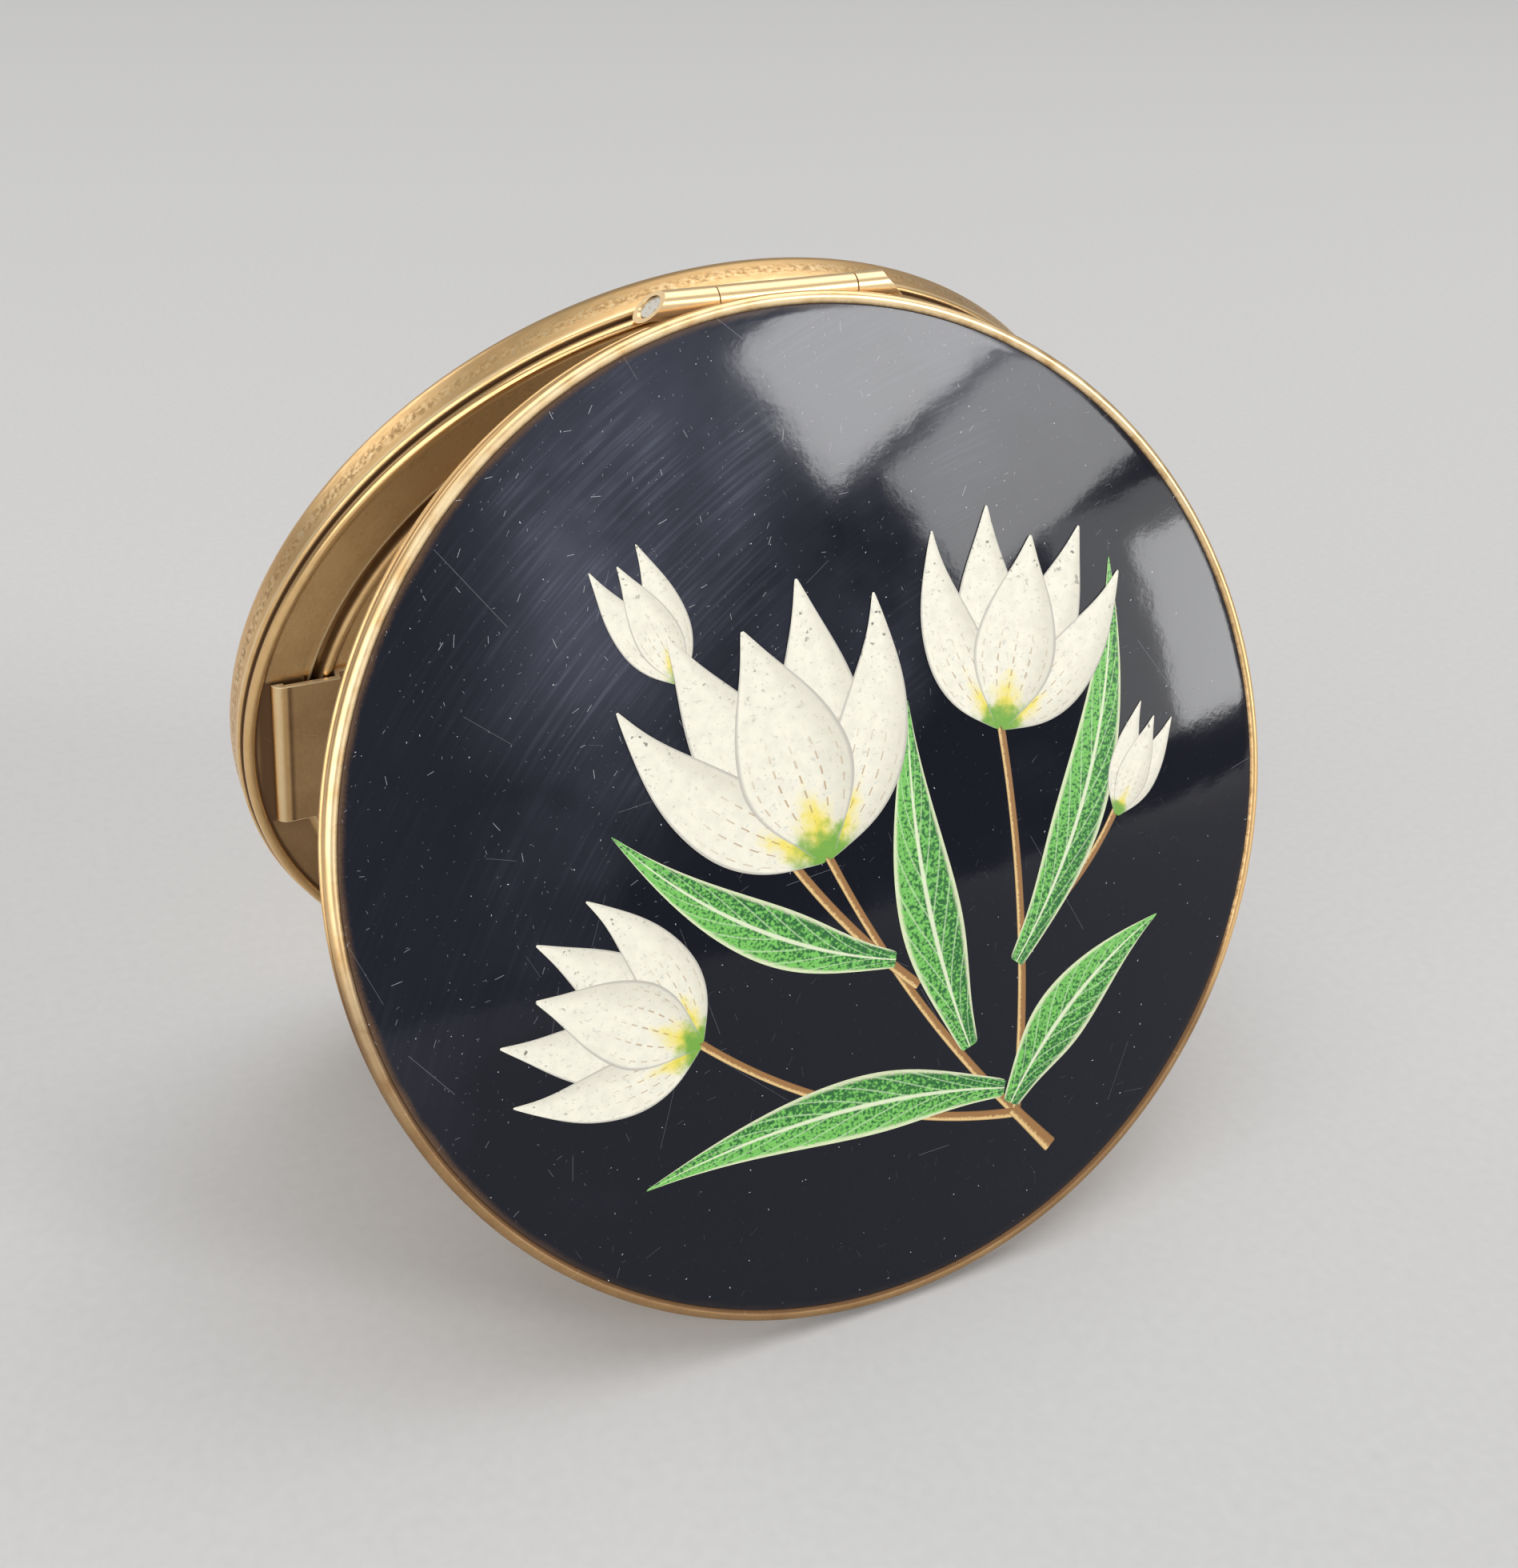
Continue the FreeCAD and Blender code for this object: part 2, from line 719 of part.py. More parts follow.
# Hinge: three knuckles on one pin. The outer ends are cut slanting, to follow the round outline.
def rod(label, start, end, *radii):
    """Round bar along the hinge. A second, smaller radius makes it a tube."""
    body = doc.addObject("PartDesign::Body", label)
    sketch = new_sketch(body, "YZ_Plane")
    bind(sketch, "AttachmentOffset.Base.z", start)
    for radius in radii:
        add_circle(sketch, 0, 0, radius)
    pad = body.newObject("PartDesign::Pad", "length")
    pad.Profile = sketch
    bind(pad, "Length", end - start)
    return finish(body, pad)


def slant_end(body, end, inward):
    """Cut an end slanting: at the end on its inner side, and inward, a signed length, on its outer."""
    side = size("knuckle_radius") * 2
    before = end - inward / 2
    behind = end + inward + inward / 2
    sketch = new_sketch(body, "XY_Plane")
    add_outline(sketch, [(before, -side), (behind, side), (before, side)])
    cut(body, sketch, side * 2, side="Symmetric")


def make_hinge():
    tube = (size("knuckle_radius"), size("pin_radius") + size("running_gap"))
    end_cut = size("knuckle_end_cut")
    left = rod("base_knuckle_left", -half_hinge, left_joint - half_gap, *tube)
    slant_end(left, -half_hinge, end_cut)
    keep(left, "base_knuckle_left", BASE_HINGE)
    right = rod("base_knuckle_right", right_joint + half_gap, half_hinge, *tube)
    slant_end(right, half_hinge, -end_cut)
    keep(right, "base_knuckle_right", BASE_HINGE)
    middle = rod("lid_knuckle", left_joint + half_gap, right_joint - half_gap, *tube)
    keep(middle, "lid_knuckle", LID_HINGE)
    pin_end = half_hinge - size("pin_recess")
    pin = rod("hinge_pin", -half_hinge, half_hinge, size("pin_radius"))
    slant_end(pin, -pin_end, end_cut)
    slant_end(pin, pin_end, -end_cut)
    keep(pin, "hinge_pin", BASE_HINGE)


make_base_shell()
make_base_frame()
make_powder_pan()
make_sifter()
make_powder_cover()
make_lift_tab()
make_catch_spring()
make_catch_rivets()
make_lid_shell()
make_lid_enamel()
make_mirror()
make_catch_hook()
make_hinge()

# Check every object, then write one file for each sub-part
doc.recompute()
for thing in doc.Objects:
    if "Invalid" in thing.State or "Error" in thing.State:
        raise RuntimeError(f"{thing.Label} failed: {thing.State}")
for thing in subparts:
    if thing.Shape.isNull() or not thing.Shape.isValid():
        raise RuntimeError(f"{thing.Label} has no valid shape")
os.makedirs("parts", exist_ok=True)
for thing in subparts:
    thing.Shape.exportStep(f"parts/{thing.Label}.step")
base_bottom = ON_BASE.multVec(FreeCAD.Vector(0, 0, -number_of(size("base_depth"))))
base_outward = ON_BASE.Rotation.multVec(FreeCAD.Vector(0, 0, -1))
print(f"{len(subparts)} sub-parts, hinge axis through {HINGE_PLACE}")
print(f"base turned {BASE_TURN:.4f} and lid turned {LID_TURN:.4f} degrees about it")
print(f"middle of the base's flat bottom {base_bottom}, facing {base_outward}")
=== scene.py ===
# %% [markdown]
# # A round compact, standing open like a tent
#
# A compact is two shallow brass dishes on one hinge. The lid carries black enamel outside and a mirror
# inside; the base holds loose powder under a lift-out cover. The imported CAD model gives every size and
# place, so it is loaded first and never moved. Each piece that shows is then modelled again, with finer
# edges and its own finish.

import json
import math
from collections import namedtuple

import bmesh
import bpy
from mathutils import Matrix, Vector


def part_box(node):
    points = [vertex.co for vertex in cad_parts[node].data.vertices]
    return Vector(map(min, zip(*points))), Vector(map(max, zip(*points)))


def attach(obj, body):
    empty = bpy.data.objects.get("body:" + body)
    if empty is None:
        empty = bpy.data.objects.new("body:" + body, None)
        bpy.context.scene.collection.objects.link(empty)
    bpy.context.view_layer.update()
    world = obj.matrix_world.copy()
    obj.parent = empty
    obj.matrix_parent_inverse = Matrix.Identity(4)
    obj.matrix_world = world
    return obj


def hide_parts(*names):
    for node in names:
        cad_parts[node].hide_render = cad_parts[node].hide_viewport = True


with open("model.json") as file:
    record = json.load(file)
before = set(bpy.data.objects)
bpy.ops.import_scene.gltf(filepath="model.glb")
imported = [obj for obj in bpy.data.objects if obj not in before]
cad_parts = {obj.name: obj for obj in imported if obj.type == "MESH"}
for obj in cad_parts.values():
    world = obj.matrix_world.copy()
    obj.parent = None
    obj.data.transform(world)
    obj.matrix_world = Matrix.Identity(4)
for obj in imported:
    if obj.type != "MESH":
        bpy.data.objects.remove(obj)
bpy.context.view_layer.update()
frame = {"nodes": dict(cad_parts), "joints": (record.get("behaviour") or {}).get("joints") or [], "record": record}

# %% [markdown]
# ## Two halves, drawn closed
#
# Lid and base are both round, so each is easiest to draw as it lies when closed: its axis is Z, the
# halves meet in the plane Z = 0, and the hinge runs along X on the +Y side. Sizes are in millimetres, so
# that the steps of every tool stay readable. One matrix for each half then turns the finished piece about
# the hinge and scales it to metres, just as the CAD half stands.

# %% The matrix of each half
MM = 0.001
joint = frame["joints"][0]
HINGE = Vector(joint["pos_m"])
out_of_back = Vector(frame["record"]["mounts"][0]["axis"])
BASE_TURN = math.atan2(out_of_back.y, -out_of_back.z)
LID_TURN = BASE_TURN + math.radians(joint["range_deg"][0])
LID_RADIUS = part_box("lid_shell")[1].x / MM
BASE_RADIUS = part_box("base_shell")[1].x / MM


def standing(turn):
    """Matrix that takes a closed half, in millimetres, to its place."""
    about_hinge = Matrix.Translation(HINGE) @ Matrix.Rotation(turn, 4, "X")
    return about_hinge @ Matrix.Translation((0, -LID_RADIUS * MM, 0)) @ Matrix.Scale(MM, 4)


HALVES = {"base": standing(BASE_TURN), "lid": standing(LID_TURN)}
print(f"lid radius {LID_RADIUS:.2f} mm, base radius {BASE_RADIUS:.2f} mm")

# %% [markdown]
# ## Camera
#
# The photograph was taken by hand, a little above the compact and from its left. Matching the outlines of
# lid and base in the picture gave the place and the lens below. The turns are written in the order in
# which a person would make them: face the compact, tip the camera down, and roll it slightly.

# %% Camera
CAMERA_PLACE = (-0.05799, -0.11732, 0.10879)
CAMERA_TURN, CAMERA_TIP, CAMERA_ROLL = (math.radians(angle) for angle in (-26.51, 59.99, 1.64))
PHOTO_HEIGHT, FOCAL_PIXELS = 1960, 2200
SENSOR = 36.0
NEAREST = 0.005

bpy.ops.object.select_all(action="DESELECT")
bpy.ops.object.camera_add()
camera = bpy.context.object
facing = Matrix.Rotation(CAMERA_TURN, 4, "Z") @ Matrix.Rotation(CAMERA_TIP, 4, "X")
rolled = facing @ Matrix.Rotation(CAMERA_ROLL, 4, "Z")
camera.matrix_world = Matrix.Translation(CAMERA_PLACE) @ rolled
camera.data.sensor_width = SENSOR
camera.data.lens = SENSOR * FOCAL_PIXELS / PHOTO_HEIGHT
camera.data.clip_start = NEAREST
bpy.context.scene.camera = camera
print(f"camera lens {camera.data.lens:.2f} mm")

# %% [markdown]
# ## Floor and light
#
# The floor is a plain pale sheet. Four small softboxes to the front right stand in for a window with bars
# across it: they are the pale patches on the black enamel. A broad one on the left draws the bright line
# along the lid's bead, a large one overhead lights the hinge, and one behind gives the back of the base
# its sheen. Their power is low enough for a colour to render about as it is written.

# %% Floor and softboxes
FLOOR_SIZE = 8.0
Softbox = namedtuple("Softbox", "toward away size roll watts")
SOFTBOXES = {
    "window_high": Softbox((0.513, -0.731, 0.450), 2.25, (0.56, 0.343), 16, 8.9),
    "window_middle": Softbox((0.614, -0.723, 0.317), 2.25, (0.52, 0.32), 16, 4.4),
    "window_low": Softbox((0.738, -0.663, 0.122), 2.25, (0.23, 0.394), 0, 2.7),
    "window_side": Softbox((0.709, -0.691, 0.142), 2.25, (0.42, 0.49), 0, 1.9),
    "left_side": Softbox((-0.73, -0.68, 0.40), 2.4, (3.6, 1.8), 0, 39),
    "overhead": Softbox((0.16, 0.05, 0.97), 2.7, (2.4, 4.2), 0, 56),
    "behind": Softbox((-0.45, 0.80, 0.42), 2.8, (1.6, 1.2), 0, 9),
}
LIGHT_TARGET = Vector((0, -0.01, 0.05))
WORLD_GREY = (0.28, 0.28, 0.28, 1)

bpy.ops.object.select_all(action="DESELECT")
bpy.ops.mesh.primitive_plane_add(size=FLOOR_SIZE)
floor = bpy.context.object
floor.name = "floor"

for label, box in SOFTBOXES.items():
    toward = Vector(box.toward).normalized()
    bpy.ops.object.light_add(type="AREA", location=LIGHT_TARGET + toward * box.away)
    lamp = bpy.context.object
    lamp.name = label
    upright = toward.to_track_quat("Z", "Y").to_matrix()
    lamp.rotation_euler = (upright @ Matrix.Rotation(math.radians(box.roll), 3, "Z")).to_euler()
    lamp.data.shape = "RECTANGLE"
    lamp.data.size, lamp.data.size_y = box.size
    lamp.data.energy = box.watts

world = bpy.data.worlds.new("studio")
bpy.context.scene.world = world
world.use_nodes = True
world.node_tree.nodes["Background"].inputs["Color"].default_value = WORLD_GREY
bpy.context.scene.view_settings.view_transform = "Standard"
print(len(SOFTBOXES), "softboxes")

# %% [markdown]
# ## Arithmetic for finishes
#
# A finish is a small sum: where a scratch is, the brass is brighter; where tarnish is, it is darker and
# rougher. Wiring such a sum by hand takes dozens of Math nodes. Here one class wraps a node's output, so
# that Python's own operators add those nodes, and one method adds any other node.

# %% A wire between nodes
class Wire:
    """The output of a shader node. Each operator on it adds a Math node."""

    def __init__(self, socket):
        self.socket = socket

    def node(self, kind, inputs, output=0, **settings):
        """Adds a node of any kind: its settings first, then the value or link of each input."""
        made = self.socket.id_data.nodes.new(kind)
        for name, value in settings.items():
            setattr(made, name, value)
        connect(made, inputs)
        return Wire(made.outputs[output])

    def math(self, operation, *terms):
        """Adds a Math node."""
        return self.node("ShaderNodeMath", dict(enumerate(terms)), operation=operation)

    def __add__(self, other):
        return self.math("ADD", self, other)

    def __mul__(self, other):
        return self.math("MULTIPLY", self, other)

    def __sub__(self, other):
        return self.math("SUBTRACT", self, other)

    def __rsub__(self, other):
        return self.math("SUBTRACT", other, self)

    def __gt__(self, other):
        return self.math("GREATER_THAN", self, other)

    def __lt__(self, other):
        return self.math("LESS_THAN", self, other)

    def __abs__(self):
        return self.math("ABSOLUTE", self)

    __radd__ = __add__
    __rmul__ = __mul__


def connect(node, inputs):
    """Sets the inputs of a node, by a link from a wire and by value otherwise."""
    for name, value in inputs.items():
        if isinstance(value, Wire):
            node.id_data.links.new(value.socket, node.inputs[name])
        else:
            node.inputs[name].default_value = value


# %% [markdown]
# Most finishes need the same few patterns: noise, a soft ramp from 0 to 1, a mix of two colours, and
# short scratches. A scratch is drawn in a cell of a Voronoi texture: the cell's own colour is random, so
# it can turn the scratch and set its length, and no two look the same.

# %% Patterns that finishes share
MIX_A, MIX_B, MIX_COLOUR = 6, 7, 2
X, Y, Z = range(3)


def opaque(colour):
    return colour if isinstance(colour, Wire) else (*colour, 1)


def mixed(share, first, second):
    """Colour that goes from the first to the second as share goes from 0 to 1."""
    inputs = {0: share, MIX_A: opaque(first), MIX_B: opaque(second)}
    return share.node("ShaderNodeMix", inputs, MIX_COLOUR, data_type="RGBA")


def coated(tone, *coats):
    """Lays coats over a tone, one after another. Each coat is a share and a colour."""
    for share, colour in coats:
        tone = mixed(share, tone, colour)
    return tone


def ramp(wire, start, end):
    """0 before start and 1 after end, with a smooth change between them."""
    inputs = {"Value": wire, "From Min": start, "From Max": end}
    return wire.node("ShaderNodeMapRange", inputs, interpolation_type="SMOOTHSTEP")


def noise(vector, scale, detail=3.0):
    return vector.node("ShaderNodeTexNoise", {"Vector": vector, "Scale": scale, "Detail": detail})


def part_of(vector, axis):
    return vector.node("ShaderNodeSeparateXYZ", {"Vector": vector}, axis)


def vector_of(x, y, z):
    return x.node("ShaderNodeCombineXYZ", {"X": x, "Y": y, "Z": z})


def scaled(vector, factor):
    return vector.node("ShaderNodeVectorMath", {"Vector": vector, "Scale": factor}, operation="SCALE")


def scratches(vector, spacing, length, width, share, heading=0.0, spread=math.tau):
    """Short scratches, one to a cell, in a share of the cells; the longest are the brightest."""
    cells = {"Vector": vector, "Scale": 1 / spacing}
    centre = vector.node("ShaderNodeTexVoronoi", cells, "Position", voronoi_dimensions="2D")
    chance = vector.node("ShaderNodeTexVoronoi", cells, "Color", voronoi_dimensions="2D")
    tints = ("Red", "Green", "Blue")
    red, green, blue = (chance.node("ShaderNodeSeparateColor", {"Color": chance}, tint) for tint in tints)
    offset = vector.node("ShaderNodeVectorMath", {0: vector, 1: centre}, operation="SUBTRACT")
    turning = {"Vector": offset, "Angle": red * spread - (heading + spread / 2)}
    turned = offset.node("ShaderNodeVectorRotate", turning, rotation_type="Z_AXIS")
    near = abs(part_of(turned, X)) < green * green * length
    thin = abs(part_of(turned, Y)) < width * (blue + 0.4)
    return near * thin * (blue < share) * (green * 0.7 + 0.3)


# %% [markdown]
# Every pattern is drawn on the closed half too. Object coordinates are the same as the scene's, because
# each finished piece sits at the origin, and a Mapping node in texture mode undoes the matrix of the
# half. That gives each finish its spot on the disc in millimetres, with the radius and the height above
# the plane where the halves meet. The look of a finish is then a function that takes a spot and gives the
# inputs of the shader.

# %% A new finish, and where it is on the disc
Spot = namedtuple("Spot", "place x y radius height east north")


def spot_on(shader, body):
    """Where a finish is on a closed half; east and north follow the rim, without a seam."""
    start = Wire(shader.outputs[0]).node("ShaderNodeTexCoord", {}, "Object")
    location, rotation, scale = HALVES[body].decompose()
    undo = {"Vector": start, "Location": location, "Rotation": rotation.to_euler(), "Scale": scale}
    place = start.node("ShaderNodeMapping", undo, vector_type="TEXTURE")
    x, y, height = (part_of(place, axis) for axis in (X, Y, Z))
    radius = x.math("SQRT", x * x + y * y)
    level = vector_of(x, y, x * 0)
    around = level.node("ShaderNodeVectorMath", {"Vector": level}, operation="NORMALIZE")
    return Spot(place, x, y, radius, height, part_of(around, X), part_of(around, Y))


def new_finish(name, body, look):
    material = bpy.data.materials.new(name)
    material.use_nodes = True
    shader = material.node_tree.nodes["Principled BSDF"]
    connect(shader, look(spot_on(shader, body)))
    return material


def bumped(height, strength, distance):
    return height.node("ShaderNodeBump", {"Height": height, "Strength": strength, "Distance": distance})


# %% [markdown]
# ## Brass
#
# The case is pressed from thin brass. It was polished and lacquered once; since then fingers have dulled
# the broad parts and kept the edges bright, and dirt has stayed in the grooves. Dark and pale places are
# less metallic than clean brass. On some pieces the dark places are painted shade and the pale ones painted
# highlights, not dirt and rubbing. One function makes all the brass: what differs from piece to piece is
# where it is darker, from dirt and painted shade, where it is paler, from rubbing and painted highlights, how
# rough it is, and where it keeps a coarse grain of dark pits and bright flecks.

# %% Brass
BRIGHT_BRASS = (0.90, 0.61, 0.29)
DULL_BRASS = (0.71, 0.42, 0.17)
DARK_BRASS = (0.16, 0.08, 0.03)
PALE_BRASS = (0.98, 0.80, 0.50)


def nowhere(spot):
    return spot.radius * 0


def brass(name, body, dirt_and_shade, roughness=0.24, grainy=nowhere, rubbed=nowhere, brushing=1.0):
    """Brass. dirt_and_shade, grainy and rubbed take a spot and give how dark, coarse or pale it is."""

    def look(spot):
        cloud = noise(spot.place, 0.16, 3)
        lines = vector_of(spot.east * 9, spot.north * 9, spot.radius + spot.height)
        brushed = (noise(lines, 4, 3) - 0.5) * brushing
        fine = noise(spot.place, 4.5, 4)
        dull = ramp(cloud * 0.7 + brushed * 0.5, 0.08, 0.66)
        # Darker where dirt lies, and where a piece's function paints in shade.
        grime_and_shade = ramp(dirt_and_shade(spot) + (cloud - 0.5) * 0.25 + (fine - 0.5) * 0.10, 0.15, 0.95)
        coarse = noise(spot.place, 2.6, 4)
        grain = grainy(spot) * ramp(coarse, 0.46, 0.60)
        fleck = grainy(spot) * ramp(coarse, 0.46, 0.36)
        nick = scratches(spot.place, 2.4, 0.8, 0.014, 0.4) * brushing
        # Paler where rubbed, and where a piece's function paints in a highlight.
        bright = rubbed(spot)
        tone = coated(
            BRIGHT_BRASS,
            (dull * 0.7, DULL_BRASS),
            (grain * 0.45, DARK_BRASS),
            (fleck * 0.55, PALE_BRASS),
            (grime_and_shade, DARK_BRASS),
            (bright, PALE_BRASS),
            (nick * 0.4, PALE_BRASS),
        )
        relief = brushed * 0.4 + fine * brushing * 0.1 + grain * 1.6 - nick * 0.4
        return {
            "Base Color": tone,
            "Metallic": 1 - bright * 0.5 - grime_and_shade * 0.5,
            "Roughness": roughness + dull * 0.07 + grime_and_shade * 0.22 + grain * 0.12 + brushed * 0.08,
            "Normal": bumped(relief, 0.2, 0.00002),
        }

    return new_finish(name, body, look)


print("brass tones:", BRIGHT_BRASS, DULL_BRASS, DARK_BRASS)

# %% [markdown]
# ## Turned pieces
#
# Nearly every piece of the case is round, and a press or a lathe gave it one outline all the way round.
# So each is made as on a lathe: a plane is merged to one point, the point is extruded along the outline,
# and Spin carries the outline round the axis. Fine arcs in the outline give the rounded edges that catch
# the light.

# %% The lathe
SPIN_STEPS = 256
JOIN_DISTANCE = 0.0005
SHARP_ANGLE = math.radians(35)


def begin(name, primitive, **size):
    """Adds one primitive with nothing else selected, and opens it in edit mode."""
    bpy.ops.object.select_all(action="DESELECT")
    primitive(**size)
    piece = bpy.context.object
    piece.name = name
    piece.data.name = name
    bpy.ops.object.mode_set(mode="EDIT")
    return piece


def close_up():
    """Merges what lies together, turns the faces outwards and leaves edit mode."""
    bpy.ops.mesh.select_all(action="SELECT")
    bpy.ops.mesh.remove_doubles(threshold=JOIN_DISTANCE)
    bpy.ops.mesh.normals_make_consistent(inside=False)
    bpy.ops.object.mode_set(mode="OBJECT")
    bpy.ops.object.shade_smooth_by_angle(angle=SHARP_ANGLE)


def drawn_line(name, corners):
    """A line of edges through (x, z) corners, in edit mode."""
    piece = begin(name, bpy.ops.mesh.primitive_plane_add, size=1)
    bpy.ops.mesh.merge(type="CENTER")
    bpy.ops.transform.translate(value=(corners[0][0], 0, corners[0][1]))
    for (x, z), (next_x, next_z) in zip(corners, corners[1:]):
        bpy.ops.mesh.extrude_region_move(TRANSFORM_OT_translate={"value": (next_x - x, 0, next_z - z)})
    return piece


def turned_piece(name, corners, steps=SPIN_STEPS):
    """Spins (radius, height) corners round Z. A line that starts off the axis is closed first."""
    closing = [corners[0]] if corners[0][0] > 0 else []
    piece = drawn_line(name, corners + closing)
    bpy.ops.mesh.select_all(action="SELECT")
    bpy.ops.mesh.spin(steps=steps, angle=math.tau, center=(0, 0, 0), axis=(0, 0, 1))
    close_up()
    print(f"turned {name}: {len(piece.data.polygons)} faces")
    return piece


def arc(centre, radius, start, end, steps=10):
    """Corners along part of a circle, from one angle to another in degrees."""
    across, up = centre
    angles = [math.radians(start + (end - start) * step / steps) for step in range(steps + 1)]
    return [(across + radius * math.cos(angle), up + radius * math.sin(angle)) for angle in angles]


def dome(crown, reach, rise, steps=32):
    """Corners of a shallow dome, from its crown on the axis to its edge."""
    radius = (reach * reach + rise * rise) / (2 * rise)
    across = [reach * step / steps for step in range(steps + 1)]
    return [(x, crown - radius + math.sqrt(radius * radius - x * x)) for x in across]


def disc(reach, height, rings=8):
    """Corners of a flat disc from the axis outwards, short of its edge."""
    return [(reach * ring / rings, height) for ring in range(rings)]


def focus(piece):
    """Selects one piece alone and makes it active."""
    bpy.ops.object.select_all(action="DESELECT")
    piece.select_set(True)
    bpy.context.view_layer.objects.active = piece


def apply_place(piece, matrix):
    """Moves a piece by a matrix and puts that into its mesh, so that its object stays at the origin."""
    focus(piece)
    piece.matrix_world = matrix
    bpy.ops.object.transform_apply(location=True, rotation=True, scale=True)


def settle(piece, body, slot, finish, *nodes):
    """Stands a finished piece in its half with its finish, hangs it on the body it moves with, and hides the nodes
    it replaces.
    """
    apply_place(piece, HALVES[body])
    piece.data.materials.clear()
    piece.data.materials.append(finish)
    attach(piece, body)
    if nodes:
        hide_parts(*nodes)
    print(f"{piece.name}: {len(piece.data.polygons)} faces")


# %% [markdown]
# Some round pieces are cut: the lid and the base have notches for the hinge, and the ledge has a slot for
# the catch. A cutter of the right shape and a Boolean modifier take that away, as a file or a punch
# would. Bent strips and tubes only have their sharp edges broken, by a Bevel modifier.

# %% Cutting and breaking edges
ROD_STEPS = 96
QUARTER_TURN = math.radians(90)


def finish_modifier(piece, kind, **settings):
    """Adds a modifier with its settings and applies it."""
    focus(piece)
    modifier = piece.modifiers.new(kind.lower(), kind)
    for name, value in settings.items():
        setattr(modifier, name, value)
    bpy.ops.object.modifier_apply(modifier=modifier.name)


def carve(piece, cutter):
    """Takes the cutter's shape out of a piece."""
    finish_modifier(piece, "BOOLEAN", operation="DIFFERENCE", solver="EXACT", object=cutter)
    bpy.data.objects.remove(cutter)


def break_edges(piece, width):
    """Rounds the sharp edges of a piece a little."""
    sharp = {"limit_method": "ANGLE", "angle_limit": SHARP_ANGLE}
    finish_modifier(piece, "BEVEL", width=width, segments=2, **sharp)
    bpy.ops.object.shade_smooth_by_angle(angle=SHARP_ANGLE)


def hinge_rod(name, start, end, radius, bore=0.0):
    """A round bar, or a tube, along the hinge of a closed half."""
    ends = [(bore, start), (radius, start), (radius, end), (bore, end)]
    rod = turned_piece(name, ends, ROD_STEPS)
    along_hinge = Matrix.Translation((0, LID_RADIUS, 0)) @ Matrix.Rotation(QUARTER_TURN, 4, "Y")
    apply_place(rod, along_hinge)
    return rod


# %% [markdown]
# ## Lid dish
#
# The lid is one thin pressing. A round bead frames the enamel, a neck steps in under it, and a thin lip
# closes on the base. The bead is a torus and could be added as one, but then a seam would show where it
# meets the neck, so the whole outline is turned at once.

# %% Lid dish
BEAD_ROUND = 0.525
BEAD_CENTRE = (LID_RADIUS - BEAD_ROUND, 1.749)
ENAMEL_RADIUS = LID_RADIUS - 2 * BEAD_ROUND
LID_INSIDE = 38.855
LID_RISE = 1.8
SHELL_CROWN, SHELL_INSIDE_CROWN = 3.449, 3.049
NECK_BOTTOM = 0.62
LIP_TOP, LIP_BOTTOM, LIP_ROUND = 0.5, 0.15, 0.12

lid_dish = turned_piece("lid_dish", [
    *dome(SHELL_CROWN, ENAMEL_RADIUS, LID_RISE),
    *arc(BEAD_CENTRE, BEAD_ROUND, 180, -90, 30),
    (BEAD_CENTRE[0], NECK_BOTTOM),
    *arc((LID_RADIUS - LIP_ROUND, LIP_TOP - LIP_ROUND), LIP_ROUND, 75, 0, 5),
    *arc((LID_RADIUS - LIP_ROUND, LIP_BOTTOM + LIP_ROUND), LIP_ROUND, 0, -90, 5),
    (LID_INSIDE, LIP_BOTTOM),
    *reversed(dome(SHELL_INSIDE_CROWN, LID_INSIDE, LID_RISE)),
])

# %% [markdown]
# The hinge has three tubes: the middle one is soldered to the lid, the outer two to the base. Each half
# is notched so that its own tubes sit in it and the other half's tubes turn freely.

# %% Notches for the hinge
HALF_HINGE = 11.25
LEFT_JOINT, RIGHT_JOINT = -4.8, 6.5
HALF_GAP = 0.05
TUBE_RADIUS, TUBE_BORE = 1.05, 0.75
SOLDER_GAP, TURNING_ROOM = 0.02, 0.3
SEAT_RADIUS, FREE_RADIUS = TUBE_RADIUS + SOLDER_GAP, TUBE_RADIUS + TURNING_ROOM
LID_NOTCHES = [
    (-HALF_HINGE, HALF_HINGE, SEAT_RADIUS),
    (-HALF_HINGE - TURNING_ROOM, LEFT_JOINT + HALF_GAP, FREE_RADIUS),
    (RIGHT_JOINT - HALF_GAP, HALF_HINGE + TURNING_ROOM, FREE_RADIUS),
]
BASE_NOTCHES = [
    (-HALF_HINGE, HALF_HINGE, SEAT_RADIUS),
    (LEFT_JOINT - HALF_GAP, RIGHT_JOINT + HALF_GAP, FREE_RADIUS),
]


def notch(piece, notches):
    for start, end, radius in notches:
        carve(piece, hinge_rod("cutter", start, end, radius))


notch(lid_dish, LID_NOTCHES)
print("lid notches:", len(LID_NOTCHES))

# %% [markdown]
# On the lid dirt sits in the thin groove beside the enamel, and the neck under the bead is painted dark as
# shade. The lower part of the bead is painted brown, mostly as painted shade for a dark reflection and partly
# for wear where the lacquer has gone and hands hold the lid. Further up, its crest carries a pale painted
# highlight.

# %% Finish of the lid's brass
def lid_dirt_and_shade(spot):
    groove = ramp(spot.radius, ENAMEL_RADIUS + 0.38, ENAMEL_RADIUS + 0.15)
    # Painted shade in the neck under the bead.
    neck = ramp(spot.height, 1.32, 1.15)
    lip = ramp(spot.height, NECK_BOTTOM, 0.45) * ramp(spot.radius, LID_RADIUS - 0.3, LID_RADIUS - 0.1)
    # The lower bead is painted brown: mostly painted shade for a dark reflection, partly wear.
    worn = ramp(spot.east * -0.25 - spot.north * 0.95, 0.12, 0.4) * 0.72
    return groove * 0.6 + neck * 0.85 - lip * 0.8 + worn


